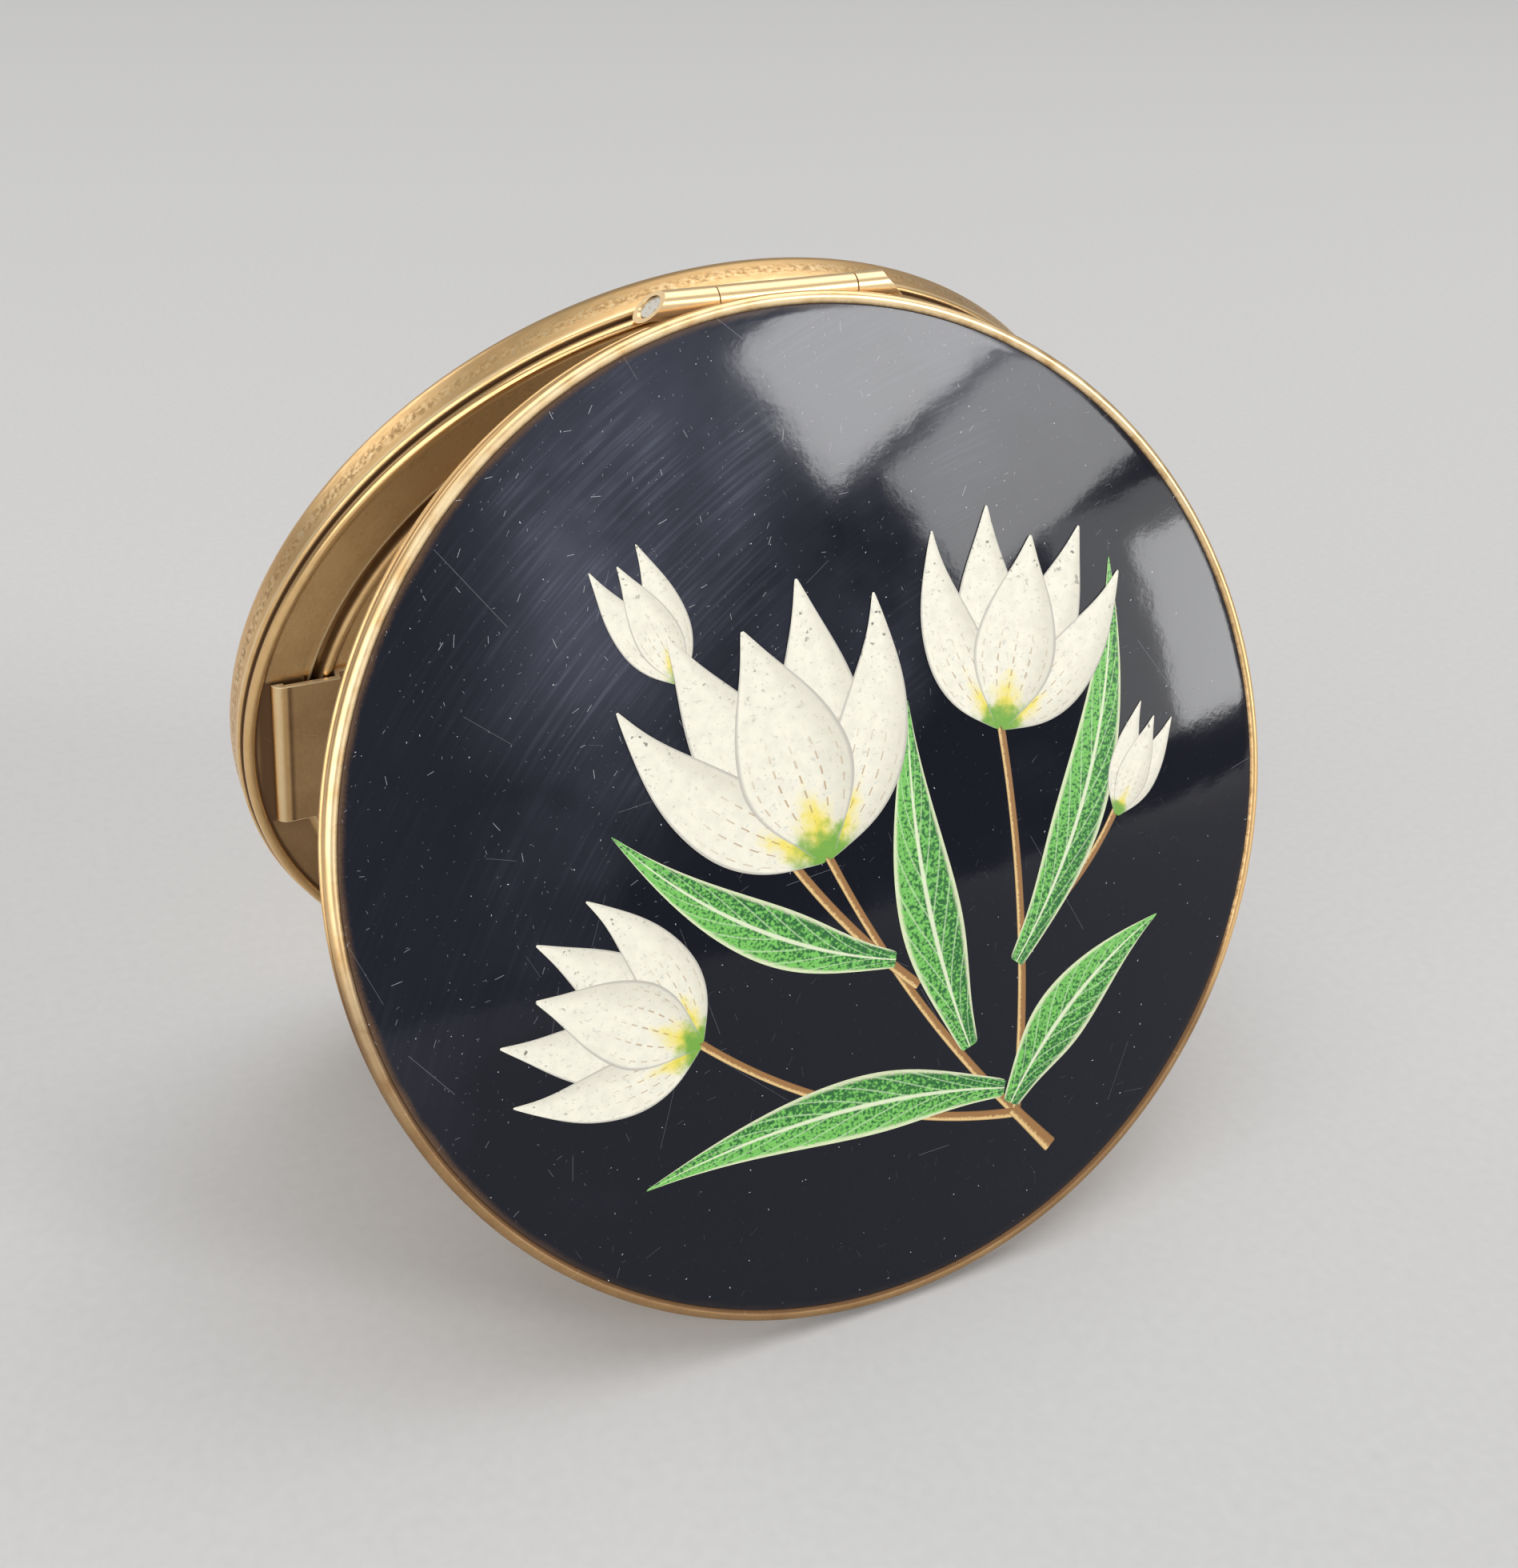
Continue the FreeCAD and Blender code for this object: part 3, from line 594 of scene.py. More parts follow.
def lid_crest_highlight(spot):
    # The pale upper crest is a painted highlight.
    crest = ramp(abs(spot.radius - BEAD_CENTRE[0]), BEAD_ROUND, 0.15) * ramp(spot.height, 1.6, 1.9)
    upper = ramp(spot.north * 0.9 - spot.east * 0.25, -0.2, 0.6)
    return crest * upper * ramp(noise(spot.place, 0.5, 4), 0.25, 0.6) * 0.75


def lid_grain(spot):
    return ramp(spot.radius, ENAMEL_RADIUS + 0.42, ENAMEL_RADIUS + 0.1)


lid_brass = brass("lid_brass", "lid", lid_dirt_and_shade, 0.30, lid_grain, lid_crest_highlight)
settle(lid_dish, "lid", "polished_brass", lid_brass, "lid_shell")

# %% [markdown]
# ## Mirror and its ring
#
# The mirror lies inside the lid, held by a pressed ring whose inner edge is rolled over the glass. Both
# are turned. The glass has a small bevel; its silver back makes it a mirror, so its finish is a smooth
# metal with faint dust, dulled at the edge.

# %% Mirror pane and ring
MIRROR_RADIUS, MIRROR_BEVEL = 34.005, 0.25
MIRROR_FACE, MIRROR_BACK = 0.6, 1.6
RING_BORE, RING_OUTSIDE = 33.005, 38.805
RING_FACE, RING_SHEET, RING_TOP, RING_ROUND = 0.3, 0.3, 1.199, 0.2
SILVER, DULL_SILVER = (0.86, 0.87, 0.86), (0.34, 0.30, 0.25)

mirror_pane = turned_piece("mirror_pane", [
    (0, MIRROR_FACE),
    (MIRROR_RADIUS - MIRROR_BEVEL, MIRROR_FACE),
    (MIRROR_RADIUS, MIRROR_FACE + MIRROR_BEVEL),
    (MIRROR_RADIUS, MIRROR_BACK),
    (0, MIRROR_BACK),
])
mirror_ring = turned_piece("mirror_ring", [
    *arc((RING_BORE + RING_SHEET / 2, RING_FACE + RING_SHEET / 2), RING_SHEET / 2, 90, 270, 10),
    *arc((RING_OUTSIDE - RING_ROUND, RING_FACE + RING_ROUND), RING_ROUND, -90, 0, 6),
    (RING_OUTSIDE, RING_TOP),
    (RING_OUTSIDE - RING_SHEET, RING_TOP),
    (RING_OUTSIDE - RING_SHEET, RING_FACE + RING_SHEET),
])


def silvered(spot):
    dust = ramp(noise(spot.place, 0.35, 5), 0.5, 0.8)
    ragged = spot.radius + noise(spot.place, 0.9, 4) * 1.6
    edge = ramp(ragged, MIRROR_RADIUS - 0.605, MIRROR_RADIUS + 0.595)
    hair = scratches(spot.place, 6, 2.4, 0.012, 0.5)
    return {
        "Base Color": mixed(edge, SILVER, DULL_SILVER),
        "Metallic": 1.0,
        "Roughness": 0.02 + dust * 0.05 + edge * 0.15 + hair * 0.2,
    }


def ring_dirt(spot):
    edge = ramp(spot.radius, RING_BORE + 0.5, RING_BORE + 0.1)
    outer = ramp(spot.radius, RING_OUTSIDE - 0.9, RING_OUTSIDE)
    return edge * 0.4 + outer * 0.75


settle(mirror_pane, "lid", "mirror", new_finish("silvered_glass", "lid", silvered), "mirror_glass")
settle(mirror_ring, "lid", "polished_brass", brass("ring_brass", "lid", ring_dirt, 0.22), "mirror_bezel")

# %% [markdown]
# ## Base cup
#
# The base is a drawn cup. Its side is a plain band with a large round towards the back and a small one at
# the lip. It is turned like the lid, then notched for the outer hinge tubes.

# %% Base cup
BASE_WALL, EDGE_ROUND = 0.5, 1.4
BASE_BACK, BASE_LIP, BASE_LIP_ROUND = -5.0, -1.0, 0.35
BASE_FLOOR, BASE_INSIDE = BASE_BACK + BASE_WALL, BASE_RADIUS - BASE_WALL
INNER_ROUND = EDGE_ROUND - BASE_WALL
ROUND_CENTRE = (BASE_RADIUS - EDGE_ROUND, BASE_BACK + EDGE_ROUND)

base_cup = turned_piece("base_cup", [
    *disc(ROUND_CENTRE[0], BASE_BACK),
    *arc(ROUND_CENTRE, EDGE_ROUND, -90, 0, 16),
    *arc((BASE_RADIUS - BASE_LIP_ROUND, BASE_LIP - BASE_LIP_ROUND), BASE_LIP_ROUND, 0, 90, 8),
    (BASE_INSIDE, BASE_LIP),
    *arc(ROUND_CENTRE, INNER_ROUND, 0, -90, 8),
    (0, BASE_FLOOR),
])
notch(base_cup, BASE_NOTCHES)

# %% [markdown]
# The band keeps a stripe of coarse grain half-way up. The cup is darker inside under the lip, dirt lies in a
# faint line below it, and the round of the lip is rubbed bright.

# %% Finish of the cup
GRAIN_LINE, DIRT_LINE, RUBBED_LINE = -2.6, -1.85, -1.35


def cup_darkening(spot):
    under_lip = ramp(spot.radius, BASE_INSIDE + 0.42, BASE_INSIDE + 0.2) * ramp(spot.height, -2.0, -1.5)
    lip_line = ramp(abs(spot.height - DIRT_LINE), 0.25, 0.0)
    return under_lip * 0.95 + lip_line * 0.25


def cup_grain(spot):
    return ramp(abs(spot.height - GRAIN_LINE), 0.8, 0.15)


def cup_rubbed(spot):
    lip_edge = ramp(abs(spot.height - RUBBED_LINE), 0.22, 0.05)
    return lip_edge * ramp(spot.radius, BASE_RADIUS - 0.2, BASE_RADIUS) * 0.5


cup_brass = brass("satin_brass", "base", cup_darkening, 0.3, cup_grain, cup_rubbed, brushing=1.5)
settle(base_cup, "base", "satin_brass", cup_brass, "base_shell")

# %% [markdown]
# ## Inner rim of the base
#
# A pressed ring fills the mouth of the cup: a bright bead on which the lid closes, then a flat ledge,
# then an edge turned down beside the powder. A torus and two flat rings could make it, but turned in one
# outline it has no seams.

# %% Inner rim
RIM_BEAD_ROUND = 0.475
RIM_BEAD_CENTRE = (39.575, -0.525)
RIM_BEAD_INSIDE, RIM_BEAD_OUTSIDE = 39.1, 40.05
LEDGE, LEDGE_UNDER, LEDGE_ROUND = -0.65, -1.1, 0.3
LEDGE_EDGE, LEDGE_MIDDLE = 35.25, 37.0
FLANGE, FLANGE_BOTTOM = 35.7, -1.7
SKIRT_OUTSIDE, SKIRT_INSIDE, SKIRT_BOTTOM = 39.85, 39.4, -3.4
BEAD_FOOT = -0.75

base_rim = turned_piece("base_rim", [
    *arc((LEDGE_EDGE + LEDGE_ROUND, LEDGE - LEDGE_ROUND), LEDGE_ROUND, 180, 90, 8),
    (LEDGE_MIDDLE, LEDGE),
    (RIM_BEAD_INSIDE, LEDGE),
    *arc(RIM_BEAD_CENTRE, RIM_BEAD_ROUND, 180, 0, 20),
    (RIM_BEAD_OUTSIDE, BEAD_FOOT),
    (SKIRT_OUTSIDE, BEAD_FOOT),
    (SKIRT_OUTSIDE, SKIRT_BOTTOM),
    (SKIRT_INSIDE, SKIRT_BOTTOM),
    (SKIRT_INSIDE, LEDGE_UNDER),
    (FLANGE, LEDGE_UNDER),
    (FLANGE, FLANGE_BOTTOM),
    (LEDGE_EDGE, FLANGE_BOTTOM),
])
notch(base_rim, BASE_NOTCHES)

# %% [markdown]
# The catch needs a slot in the ledge, opposite the hinge, and two rivets hold its spring from below. The
# faces of the ledge run round the axis, so no edges lie where the holes are; a box and two rods cut them
# out instead.

# %% Slot and rivet holes of the catch
CUT_DEPTH = 2
SLOT_WIDTH, SLOT_NEAR, SLOT_FAR = 6.7, -37.5, -38.73
RIVET_LINE, RIVET_PLACE, RIVET_HOLE = -36.45, 1.8, 0.37

bpy.ops.object.select_all(action="DESELECT")
bpy.ops.mesh.primitive_cube_add(size=1, location=(0, (SLOT_NEAR + SLOT_FAR) / 2, LEDGE))
slot_cutter = bpy.context.object
slot_cutter.scale = (SLOT_WIDTH, SLOT_NEAR - SLOT_FAR, CUT_DEPTH)
bpy.ops.object.transform_apply(scale=True)
carve(base_rim, slot_cutter)
for side in (-RIVET_PLACE, RIVET_PLACE):
    bpy.ops.object.select_all(action="DESELECT")
    hole = {"radius": RIVET_HOLE, "depth": CUT_DEPTH, "location": (side, RIVET_LINE, LEDGE)}
    bpy.ops.mesh.primitive_cylinder_add(**hole)
    carve(base_rim, bpy.context.object)
print("rim with its holes:", len(base_rim.data.polygons), "faces")

# %% [markdown]
# The ledge is painted darker as shade, most of all low down and under the tab that lifts the cover. Its
# inner edge carries a pale painted highlight. Both sides of the bead are darker too.

# %% Finish of the rim
TAB_WIDTH, TAB_REACH = 16.3, 37.65


def rim_shade_and_grooves(spot):
    # Painted shade on the ledge, darker low down.
    low = ramp(spot.y, 22, -10)
    ledge = ramp(spot.height, LEDGE + 0.04, LEDGE) * ramp(spot.radius, LEDGE_EDGE + 0.4, LEDGE_EDGE + 0.9)
    # Painted shadow on the ledge under the tab.
    under_tab = ramp(abs(spot.y), TAB_WIDTH / 2 + 0.4, TAB_WIDTH / 2 - 0.2)
    under_tab = under_tab * ramp(spot.x, -RIM_BEAD_INSIDE + 0.1, -TAB_REACH - 0.4)
    shaded = ramp(spot.x, -TAB_REACH + 6, -TAB_REACH + 2) * under_tab
    groove = ramp(spot.height, BEAD_FOOT + 0.35, BEAD_FOOT)
    groove = groove * ramp(spot.radius, RIM_BEAD_OUTSIDE - 0.45, RIM_BEAD_OUTSIDE - 0.15)
    foot = ramp(abs(spot.radius - RIM_BEAD_INSIDE), 0.3, 0.0) * ramp(spot.height, -0.4, -0.6)
    return ledge * (low * 0.42 + shaded * 0.6 + 0.30) + groove * 0.95 + foot * 0.5


def rim_edge_highlight(spot):
    # The pale inner edge of the ledge is a painted highlight.
    inner_edge = ramp(abs(spot.radius - LEDGE_EDGE - 0.2), 0.24, 0.08)
    return inner_edge * ramp(spot.height, LEDGE - 0.25, LEDGE - 0.08) * 0.6


rim_brass = brass("rim_brass", "base", rim_shade_and_grooves, 0.2, rubbed=rim_edge_highlight)
settle(base_rim, "base", "polished_brass", rim_brass, "base_frame")

# %% [markdown]
# ## Powder cover and its lift tab
#
# A flat cover with a rounded border keeps the powder in. It is turned like the other round pieces, with a
# small fillet where the border rises, because a pressed sheet never bends at a sharp corner.

# %% Powder cover
COVER_RADIUS, COVER_TOP, COVER_UNDER = 34.6, -1.15, -1.5
BORDER_ROUND, BORDER_FILLET = 0.45, 0.12
BORDER_CENTRE = (COVER_RADIUS - BORDER_ROUND, -0.9)
BORDER_INSIDE = BORDER_CENTRE[0] - BORDER_ROUND

powder_plate = turned_piece("powder_plate", [
    *disc(BORDER_INSIDE, COVER_TOP),
    (BORDER_INSIDE - BORDER_FILLET, COVER_TOP),
    (BORDER_INSIDE, COVER_TOP + BORDER_FILLET),
    *arc(BORDER_CENTRE, BORDER_ROUND, 180, 0, 18),
    (COVER_RADIUS, COVER_UNDER),
    (0, COVER_UNDER),
])


def cover_dirt(spot):
    corner = ramp(abs(spot.radius - BORDER_INSIDE), 0.5, 0.1) * ramp(spot.height, -0.8, -1.1)
    outside = ramp(spot.radius, COVER_RADIUS - 0.25, COVER_RADIUS)
    return corner * 0.7 + outside * 0.7 + 0.16


cover_brass = brass("cover_brass", "base", cover_dirt, 0.24)
settle(powder_plate, "base", "polished_brass", cover_brass, "powder_cover")

# %% [markdown]
# A strip at the cover's left side is bent up over the border and ends in a rolled hem, under which a
# fingernail lifts the cover. A strip has one outline along its whole width, so its outline is drawn edge
# on, filled with a face and extruded, and its edges are broken with a small bevel. Its flat is brown, a
# painted shade line runs beside the hem, and its cut ends and hem carry painted highlights.

# %% Lift tab
TAB_TOP, TAB_UNDER, TAB_SHEET = 0.05, -0.3, 0.35
HEM_START, HEM_BOTTOM, HEM_ROUND, HEM_END_ANGLE = 36.65, -0.5, 1.184, 147.6
TAB_RISER, TAB_HEEL = 32.55, 29.8
EDGE_BREAK = 0.05


def strip(name, corners, width):
    """A bent strip: its outline seen edge on, filled and extruded to both sides of the middle."""
    piece = drawn_line(name, corners + [corners[0]])
    bpy.ops.mesh.select_all(action="SELECT")
    bpy.ops.mesh.remove_doubles(threshold=JOIN_DISTANCE)
    bpy.ops.mesh.edge_face_add()
    bpy.ops.transform.translate(value=(0, -width / 2, 0))
    bpy.ops.mesh.extrude_region_move(TRANSFORM_OT_translate={"value": (0, width, 0)})
    close_up()
    break_edges(piece, EDGE_BREAK)
    return piece


lift_tab = strip("lift_tab", [
    *arc((-HEM_START, TAB_TOP - HEM_ROUND), HEM_ROUND, 90, HEM_END_ANGLE, 8),
    (-HEM_START, HEM_BOTTOM),
    (-HEM_START, TAB_UNDER),
    (-TAB_RISER, TAB_UNDER),
    (-TAB_RISER, COVER_TOP),
    (-TAB_HEEL, COVER_TOP),
    (-TAB_HEEL, COVER_TOP + TAB_SHEET),
    (-TAB_RISER + TAB_SHEET, COVER_TOP + TAB_SHEET),
    (-TAB_RISER + TAB_SHEET, TAB_TOP),
], TAB_WIDTH)


def tab_darkening(spot):
    # A painted shade line in the crease beside the hem.
    hem_line = ramp(abs(spot.x + HEM_START - 0.25), 0.5, 0.0)
    flat = ramp(spot.x, -HEM_START, -HEM_START + 0.4)
    # The cut ends are kept clean under their painted highlight.
    end = ramp(abs(spot.y), TAB_WIDTH / 2 - 0.12, TAB_WIDTH / 2)
    return hem_line * 0.3 + flat * 0.6 - end * 1.5


def tab_highlights(spot):
    # Painted highlights on the cut ends and along the hem.
    end = ramp(abs(spot.y), TAB_WIDTH / 2 - 0.12, TAB_WIDTH / 2 - 0.04)
    hem = ramp(abs(spot.x + (HEM_START + TAB_REACH) / 2), 0.4, 0.05)
    return end * 0.9 + hem * 0.5


tab_brass = brass("tab_brass", "base", tab_darkening, 0.2, rubbed=tab_highlights)
settle(lift_tab, "base", "polished_brass", tab_brass, "cover_lift_tab")

# %% [markdown]
# ## Catch hook
#
# The hook is a small bent strip under the mirror's ring. Its ridge snaps behind the spring when the lid
# closes. It is drawn like the tab, then turned a quarter round to face away from the hinge.

# %% Catch hook
HOOK_WIDTH, HOOK_SHEET = 6.0, 0.28
HOOK_ROOT, HOOK_BACK = -36.78, -38.38
HOOK_FRONT, HOOK_UNDER = HOOK_BACK + HOOK_SHEET, RING_FACE - HOOK_SHEET
RIDGE_LOW, RIDGE_HIGH, RIDGE_DEPTH = -2.2, -1.7, 0.25

hook = strip("hook", [
    (HOOK_ROOT, RING_FACE),
    (HOOK_BACK, RING_FACE),
    (HOOK_BACK, RIDGE_LOW),
    (HOOK_FRONT, RIDGE_LOW),
    (HOOK_FRONT + RIDGE_DEPTH, (RIDGE_LOW + RIDGE_HIGH) / 2),
    (HOOK_FRONT, RIDGE_HIGH),
    (HOOK_FRONT, HOOK_UNDER),
    (HOOK_ROOT, HOOK_UNDER),
], HOOK_WIDTH)
apply_place(hook, Matrix.Rotation(QUARTER_TURN, 4, "Z"))


def hook_dirt(spot):
    return ramp(spot.height, -0.3, 0.2) * 0.5


settle(hook, "lid", "polished_brass", brass("hook_brass", "lid", hook_dirt, 0.24), "catch_hook")

# %% [markdown]
# ## Hinge
#
# Three thin tubes lie in one line on a pin. The outer ends are cut off slanting, so that the hinge
# follows the round of the case, and the pin's ends show in them. Each is turned and laid along X; the
# outer tubes and the pin are bisected at their slanting ends.

# %% Hinge tubes and pin
END_CUT = 2.6
PIN_RADIUS, PIN_RECESS = 0.7, 0.2
TUBE = (TUBE_RADIUS, TUBE_BORE)
TUBE_BREAK = 0.035


def slant(piece, end, side):
    """Cuts one end off slanting: at the end on the inner side of the hinge, and shorter on the outer."""
    focus(piece)
    bpy.ops.object.mode_set(mode="EDIT")
    bpy.ops.mesh.select_all(action="SELECT")
    middle = side * (end - END_CUT / 2)
    bpy.ops.mesh.bisect(
        plane_co=(middle, LID_RADIUS, 0),
        plane_no=(side * 2 * TUBE_RADIUS, END_CUT, 0),
        use_fill=True,
        clear_outer=True,
    )
    close_up()


left_tube = hinge_rod("left_tube", -HALF_HINGE, LEFT_JOINT - HALF_GAP, *TUBE)
slant(left_tube, HALF_HINGE, -1)
right_tube = hinge_rod("right_tube", RIGHT_JOINT + HALF_GAP, HALF_HINGE, *TUBE)
slant(right_tube, HALF_HINGE, 1)
middle_tube = hinge_rod("middle_tube", LEFT_JOINT + HALF_GAP, RIGHT_JOINT - HALF_GAP, *TUBE)
pin = hinge_rod("pin", -HALF_HINGE, HALF_HINGE, PIN_RADIUS)
slant(pin, HALF_HINGE - PIN_RECESS, -1)
slant(pin, HALF_HINGE - PIN_RECESS, 1)
for tube in (left_tube, right_tube, middle_tube, pin):
    break_edges(tube, TUBE_BREAK)

# %% [markdown]
# Fingers rub the outer side of the tubes whenever the lid is opened, so it is bright, and a dark seam
# stays where the tubes lie in the case. The pin is drawn wire of a paler metal, dull in patches.

# %% Finish of the hinge
WIRE_BRIGHT, WIRE_DULL = (0.80, 0.76, 0.68), (0.50, 0.43, 0.33)


def tube_dirt(spot):
    seam = ramp(abs(spot.height), 0.15, 0.0) * ramp(spot.radius, LID_RADIUS - 0.2, LID_RADIUS - 0.6)
    return seam * 0.8 + 0.05


def tube_rubbed(spot):
    return ramp(spot.radius, LID_RADIUS - 0.6, LID_RADIUS + 0.4) * 0.45


def tube_brass(body):
    return brass(f"{body}_tube_brass", body, tube_dirt, 0.26, rubbed=tube_rubbed, brushing=0.15)


def bright_wire(spot):
    cloud = noise(spot.place, 2.5, 4)
    return {
        "Base Color": mixed(ramp(cloud, 0.45, 0.75), WIRE_BRIGHT, WIRE_DULL),
        "Metallic": 1.0,
        "Roughness": 0.30 + cloud * 0.1,
        "Normal": bumped(cloud, 0.3, 0.00003),
    }


base_tube_brass = tube_brass("base")
settle(left_tube, "base", "polished_brass", base_tube_brass, "base_knuckle_left")
settle(right_tube, "base", "polished_brass", base_tube_brass, "base_knuckle_right")
settle(middle_tube, "lid", "polished_brass", tube_brass("lid"), "lid_knuckle")
settle(pin, "base", "pin_metal", new_finish("pin_wire", "base", bright_wire), "hinge_pin")

# %% [markdown]
# ## Enamel
#
# The lid's face is a thick, glossy coat of black enamel on the dome, cast against the bead. It is turned
# too, with many rings so that its shallow dome reflects without facets. One more ring lies close to the
# edge: without it, smooth shading would spread the rounded edge over the whole last strip and draw a dark
# band beside the bead. The face stays on the closed half for now, because the painted flowers are wrapped
# onto it next.

# %% Enamel face
ENAMEL_GAP, ENAMEL_RINGS, LAST_RING = 0.02, 48, 0.88
ENAMEL_FOOT, ENAMEL_EDGE = ENAMEL_RADIUS - ENAMEL_GAP, ENAMEL_RADIUS + 0.07
ENAMEL_CROWN, ENAMEL_UNDER_CROWN = 3.899, 3.469
ENAMEL_EDGE_ROUND = 0.04


def between(first, second, share):
    """The corner at a share of the way from one corner to another."""
    return tuple(one + (other - one) * share for one, other in zip(first, second))


enamel_top = dome(ENAMEL_CROWN, ENAMEL_EDGE, LID_RISE, ENAMEL_RINGS)
enamel_rim = enamel_top[-1][1] - ENAMEL_EDGE_ROUND
enamel_face = turned_piece("enamel_face", [
    *enamel_top[:-1],
    between(enamel_top[-2], enamel_top[-1], LAST_RING),
    *arc((ENAMEL_EDGE - ENAMEL_EDGE_ROUND, enamel_rim), ENAMEL_EDGE_ROUND, 86, 0, 5),
    *arc(BEAD_CENTRE, BEAD_ROUND + ENAMEL_GAP, 150, 180, 5),
    *reversed(dome(ENAMEL_UNDER_CROWN, ENAMEL_FOOT, LID_RISE)),
])

# %% [markdown]
# Black enamel shows every touch: long hairs, short nicks that lean one way, and white dots where grit has
# chipped it. Haze and two smears lie on its upper left, streaked by the arcs of a wiping cloth. A thin
# brown line follows the left and upper left edge, where the coat has worn. Scratches go into the colour
# and the roughness, and a weak wave in the surface makes reflections swim a little.

# %% Finish of the enamel
ENAMEL_BLACK = (0.0045, 0.0055, 0.0110)
ENAMEL_HAZE = (0.075, 0.081, 0.108)
ENAMEL_NICK = (0.70, 0.72, 0.76)
ENAMEL_BROWN = (0.10, 0.055, 0.03)
WIPING_CENTRE = (30.0, -38.0, 0.0)
SMEARS = [((-20.0, 19.0, 3.0), 13.0), ((-12.0, 31.0, 2.5), 12.0)]
SMEAR_FRAY = 24
NICK_LEAN = (math.radians(60), math.radians(130))


def distance(vector, point):
    return vector.node("ShaderNodeVectorMath", {0: vector, 1: point}, "Value", operation="DISTANCE")


def enamel(spot):
    handled = spot.x * -0.02 + spot.y * 0.022 + noise(spot.place, 0.11, 2) * 1.5
    patch = ramp(handled, 0.55, 1.15)
    cloud = noise(spot.place, 0.09, 4)
    upper = ramp(spot.y * 0.03 - spot.x * 0.012 + (cloud - 0.5) * 1.6, 0.15, 0.95)
    often = patch * 0.5 + upper * 0.4 + 0.1
    nick = scratches(spot.place, 1.2, 0.45, 0.020, 0.21, *NICK_LEAN) * often
    grit = scratches(scaled(spot.place, 0.83), 0.5, 0.10, 0.016, 0.28, *NICK_LEAN) * often
    hair = scratches(spot.place, 8.0, 5.5, 0.014, 0.6)
    dot = scratches(scaled(spot.place, 1.37), 2.6, 0.10, 0.045, 0.45)
    reach = distance(spot.place, WIPING_CENTRE)
    streak = noise(vector_of(reach * 3.4, spot.x * 0.1, spot.y * 0.1), 1.0, 6)
    wiped = ramp(streak, 0.42, 0.75) * ramp(noise(spot.place, 0.13, 4), 0.35, 0.65)
    fray = (cloud - 0.5) * SMEAR_FRAY
    smear = sum(ramp(distance(spot.place, centre) + fray, size, 0) for centre, size in SMEARS)
    thin_haze = ramp(handled * 0.6 + cloud, 0.95, 1.45) * (wiped * 0.1 + 0.12)
    thick_haze = upper * (wiped * 0.25 + 0.2) + smear * (wiped * 0.5 + 0.42)
    inward = ramp(spot.x, -32, -18)
    haze = thin_haze * (inward * 0.3 + 0.7) + thick_haze * inward
    left = ramp(spot.east * -0.8 + spot.north * 0.35, 0.1, 0.7)
    ragged = spot.radius + noise(spot.place, 0.35, 2) * 0.5 + noise(spot.place, 5.0, 3) * 0.3
    worn = ramp(ragged, ENAMEL_EDGE - 0.2, ENAMEL_EDGE + 0.4) * (left * 0.9 + 0.1)
    marks = nick * 0.9 + grit * 0.5 + hair * 0.3 + dot
    wave = noise(spot.place, 0.3, 1) * 2.5 + noise(spot.place, 1.8, 2) * 0.35
    wave = wave + noise(spot.place, 3.2, 1) * 0.16
    return {
        "Base Color": coated(ENAMEL_BLACK, (haze, ENAMEL_HAZE), (worn, ENAMEL_BROWN), (marks, ENAMEL_NICK)),
        "Roughness": 0.055 + haze * 0.04 + worn * 0.25 + nick * 0.3,
        "Specular IOR Level": 0.28,
        "Normal": bumped(wave - nick * 0.5 - hair * 0.3, 0.16, 0.00002),
    }


black_enamel = new_finish("black_enamel", "lid", enamel)
print("enamel nodes:", len(black_enamel.node_tree.nodes))

# %% [markdown]
# ## Painted flowers
#
# The enamel carries a printed and hand-touched spray: white tulips and buds on thin golden stems, with
# long green leaves. A flat texture would do from afar, but the real print stands a hair above the enamel
# and has crisp edges, so every petal and leaf is a thin piece. All are drawn the same way: a flat grid
# one unit long, whose rows are scaled to the width of the outline there. The grid keeps its UV map, so
# the paint can follow each petal.

# %% Blank petals, leaves and stems
BLANK_ROWS, BLANK_COLUMNS = 14, 6
OUTLINES = {
    "petal": [0.16, 0.36, 0.60, 0.80, 0.93, 1.0, 1.0, 0.95, 0.87, 0.76, 0.62, 0.46, 0.30, 0.16, 0.03],
    "leaf": [0.30, 0.42, 0.58, 0.75, 0.90, 0.99, 1.0, 0.95, 0.86, 0.74, 0.60, 0.45, 0.30, 0.15, 0.02],
    "stem": [1.0, 0.97, 0.94, 0.92, 0.90, 0.88, 0.86, 0.84, 0.82, 0.80, 0.78, 0.76, 0.76, 0.78, 0.82],
}


def pick(piece, wanted):
    """Selects the vertices whose place is wanted, and no others."""
    mesh = bmesh.from_edit_mesh(piece.data)
    for vertex in mesh.verts:
        vertex.select = wanted(vertex.co)
    mesh.select_flush_mode()
    bmesh.update_edit_mesh(piece.data)


def blank(name, widths):
    """A flat piece of unit length along X, with each row scaled to its width."""
    grid = {"x_subdivisions": BLANK_ROWS, "y_subdivisions": BLANK_COLUMNS, "size": 1}
    piece = begin(f"{name}_blank", bpy.ops.mesh.primitive_grid_add, **grid)
    bpy.ops.transform.translate(value=(0.5, 0, 0))
    for row, width in enumerate(widths):
        x = row / BLANK_ROWS
        pick(piece, lambda place: abs(place.x - x) < 0.01)
        bpy.ops.transform.resize(value=(1, width, 1), center_override=(x, 0, 0))
    bpy.ops.object.mode_set(mode="OBJECT")
    return piece


BLANKS = {name: blank(name, widths) for name, widths in OUTLINES.items()}
print("blanks:", sorted(BLANKS))

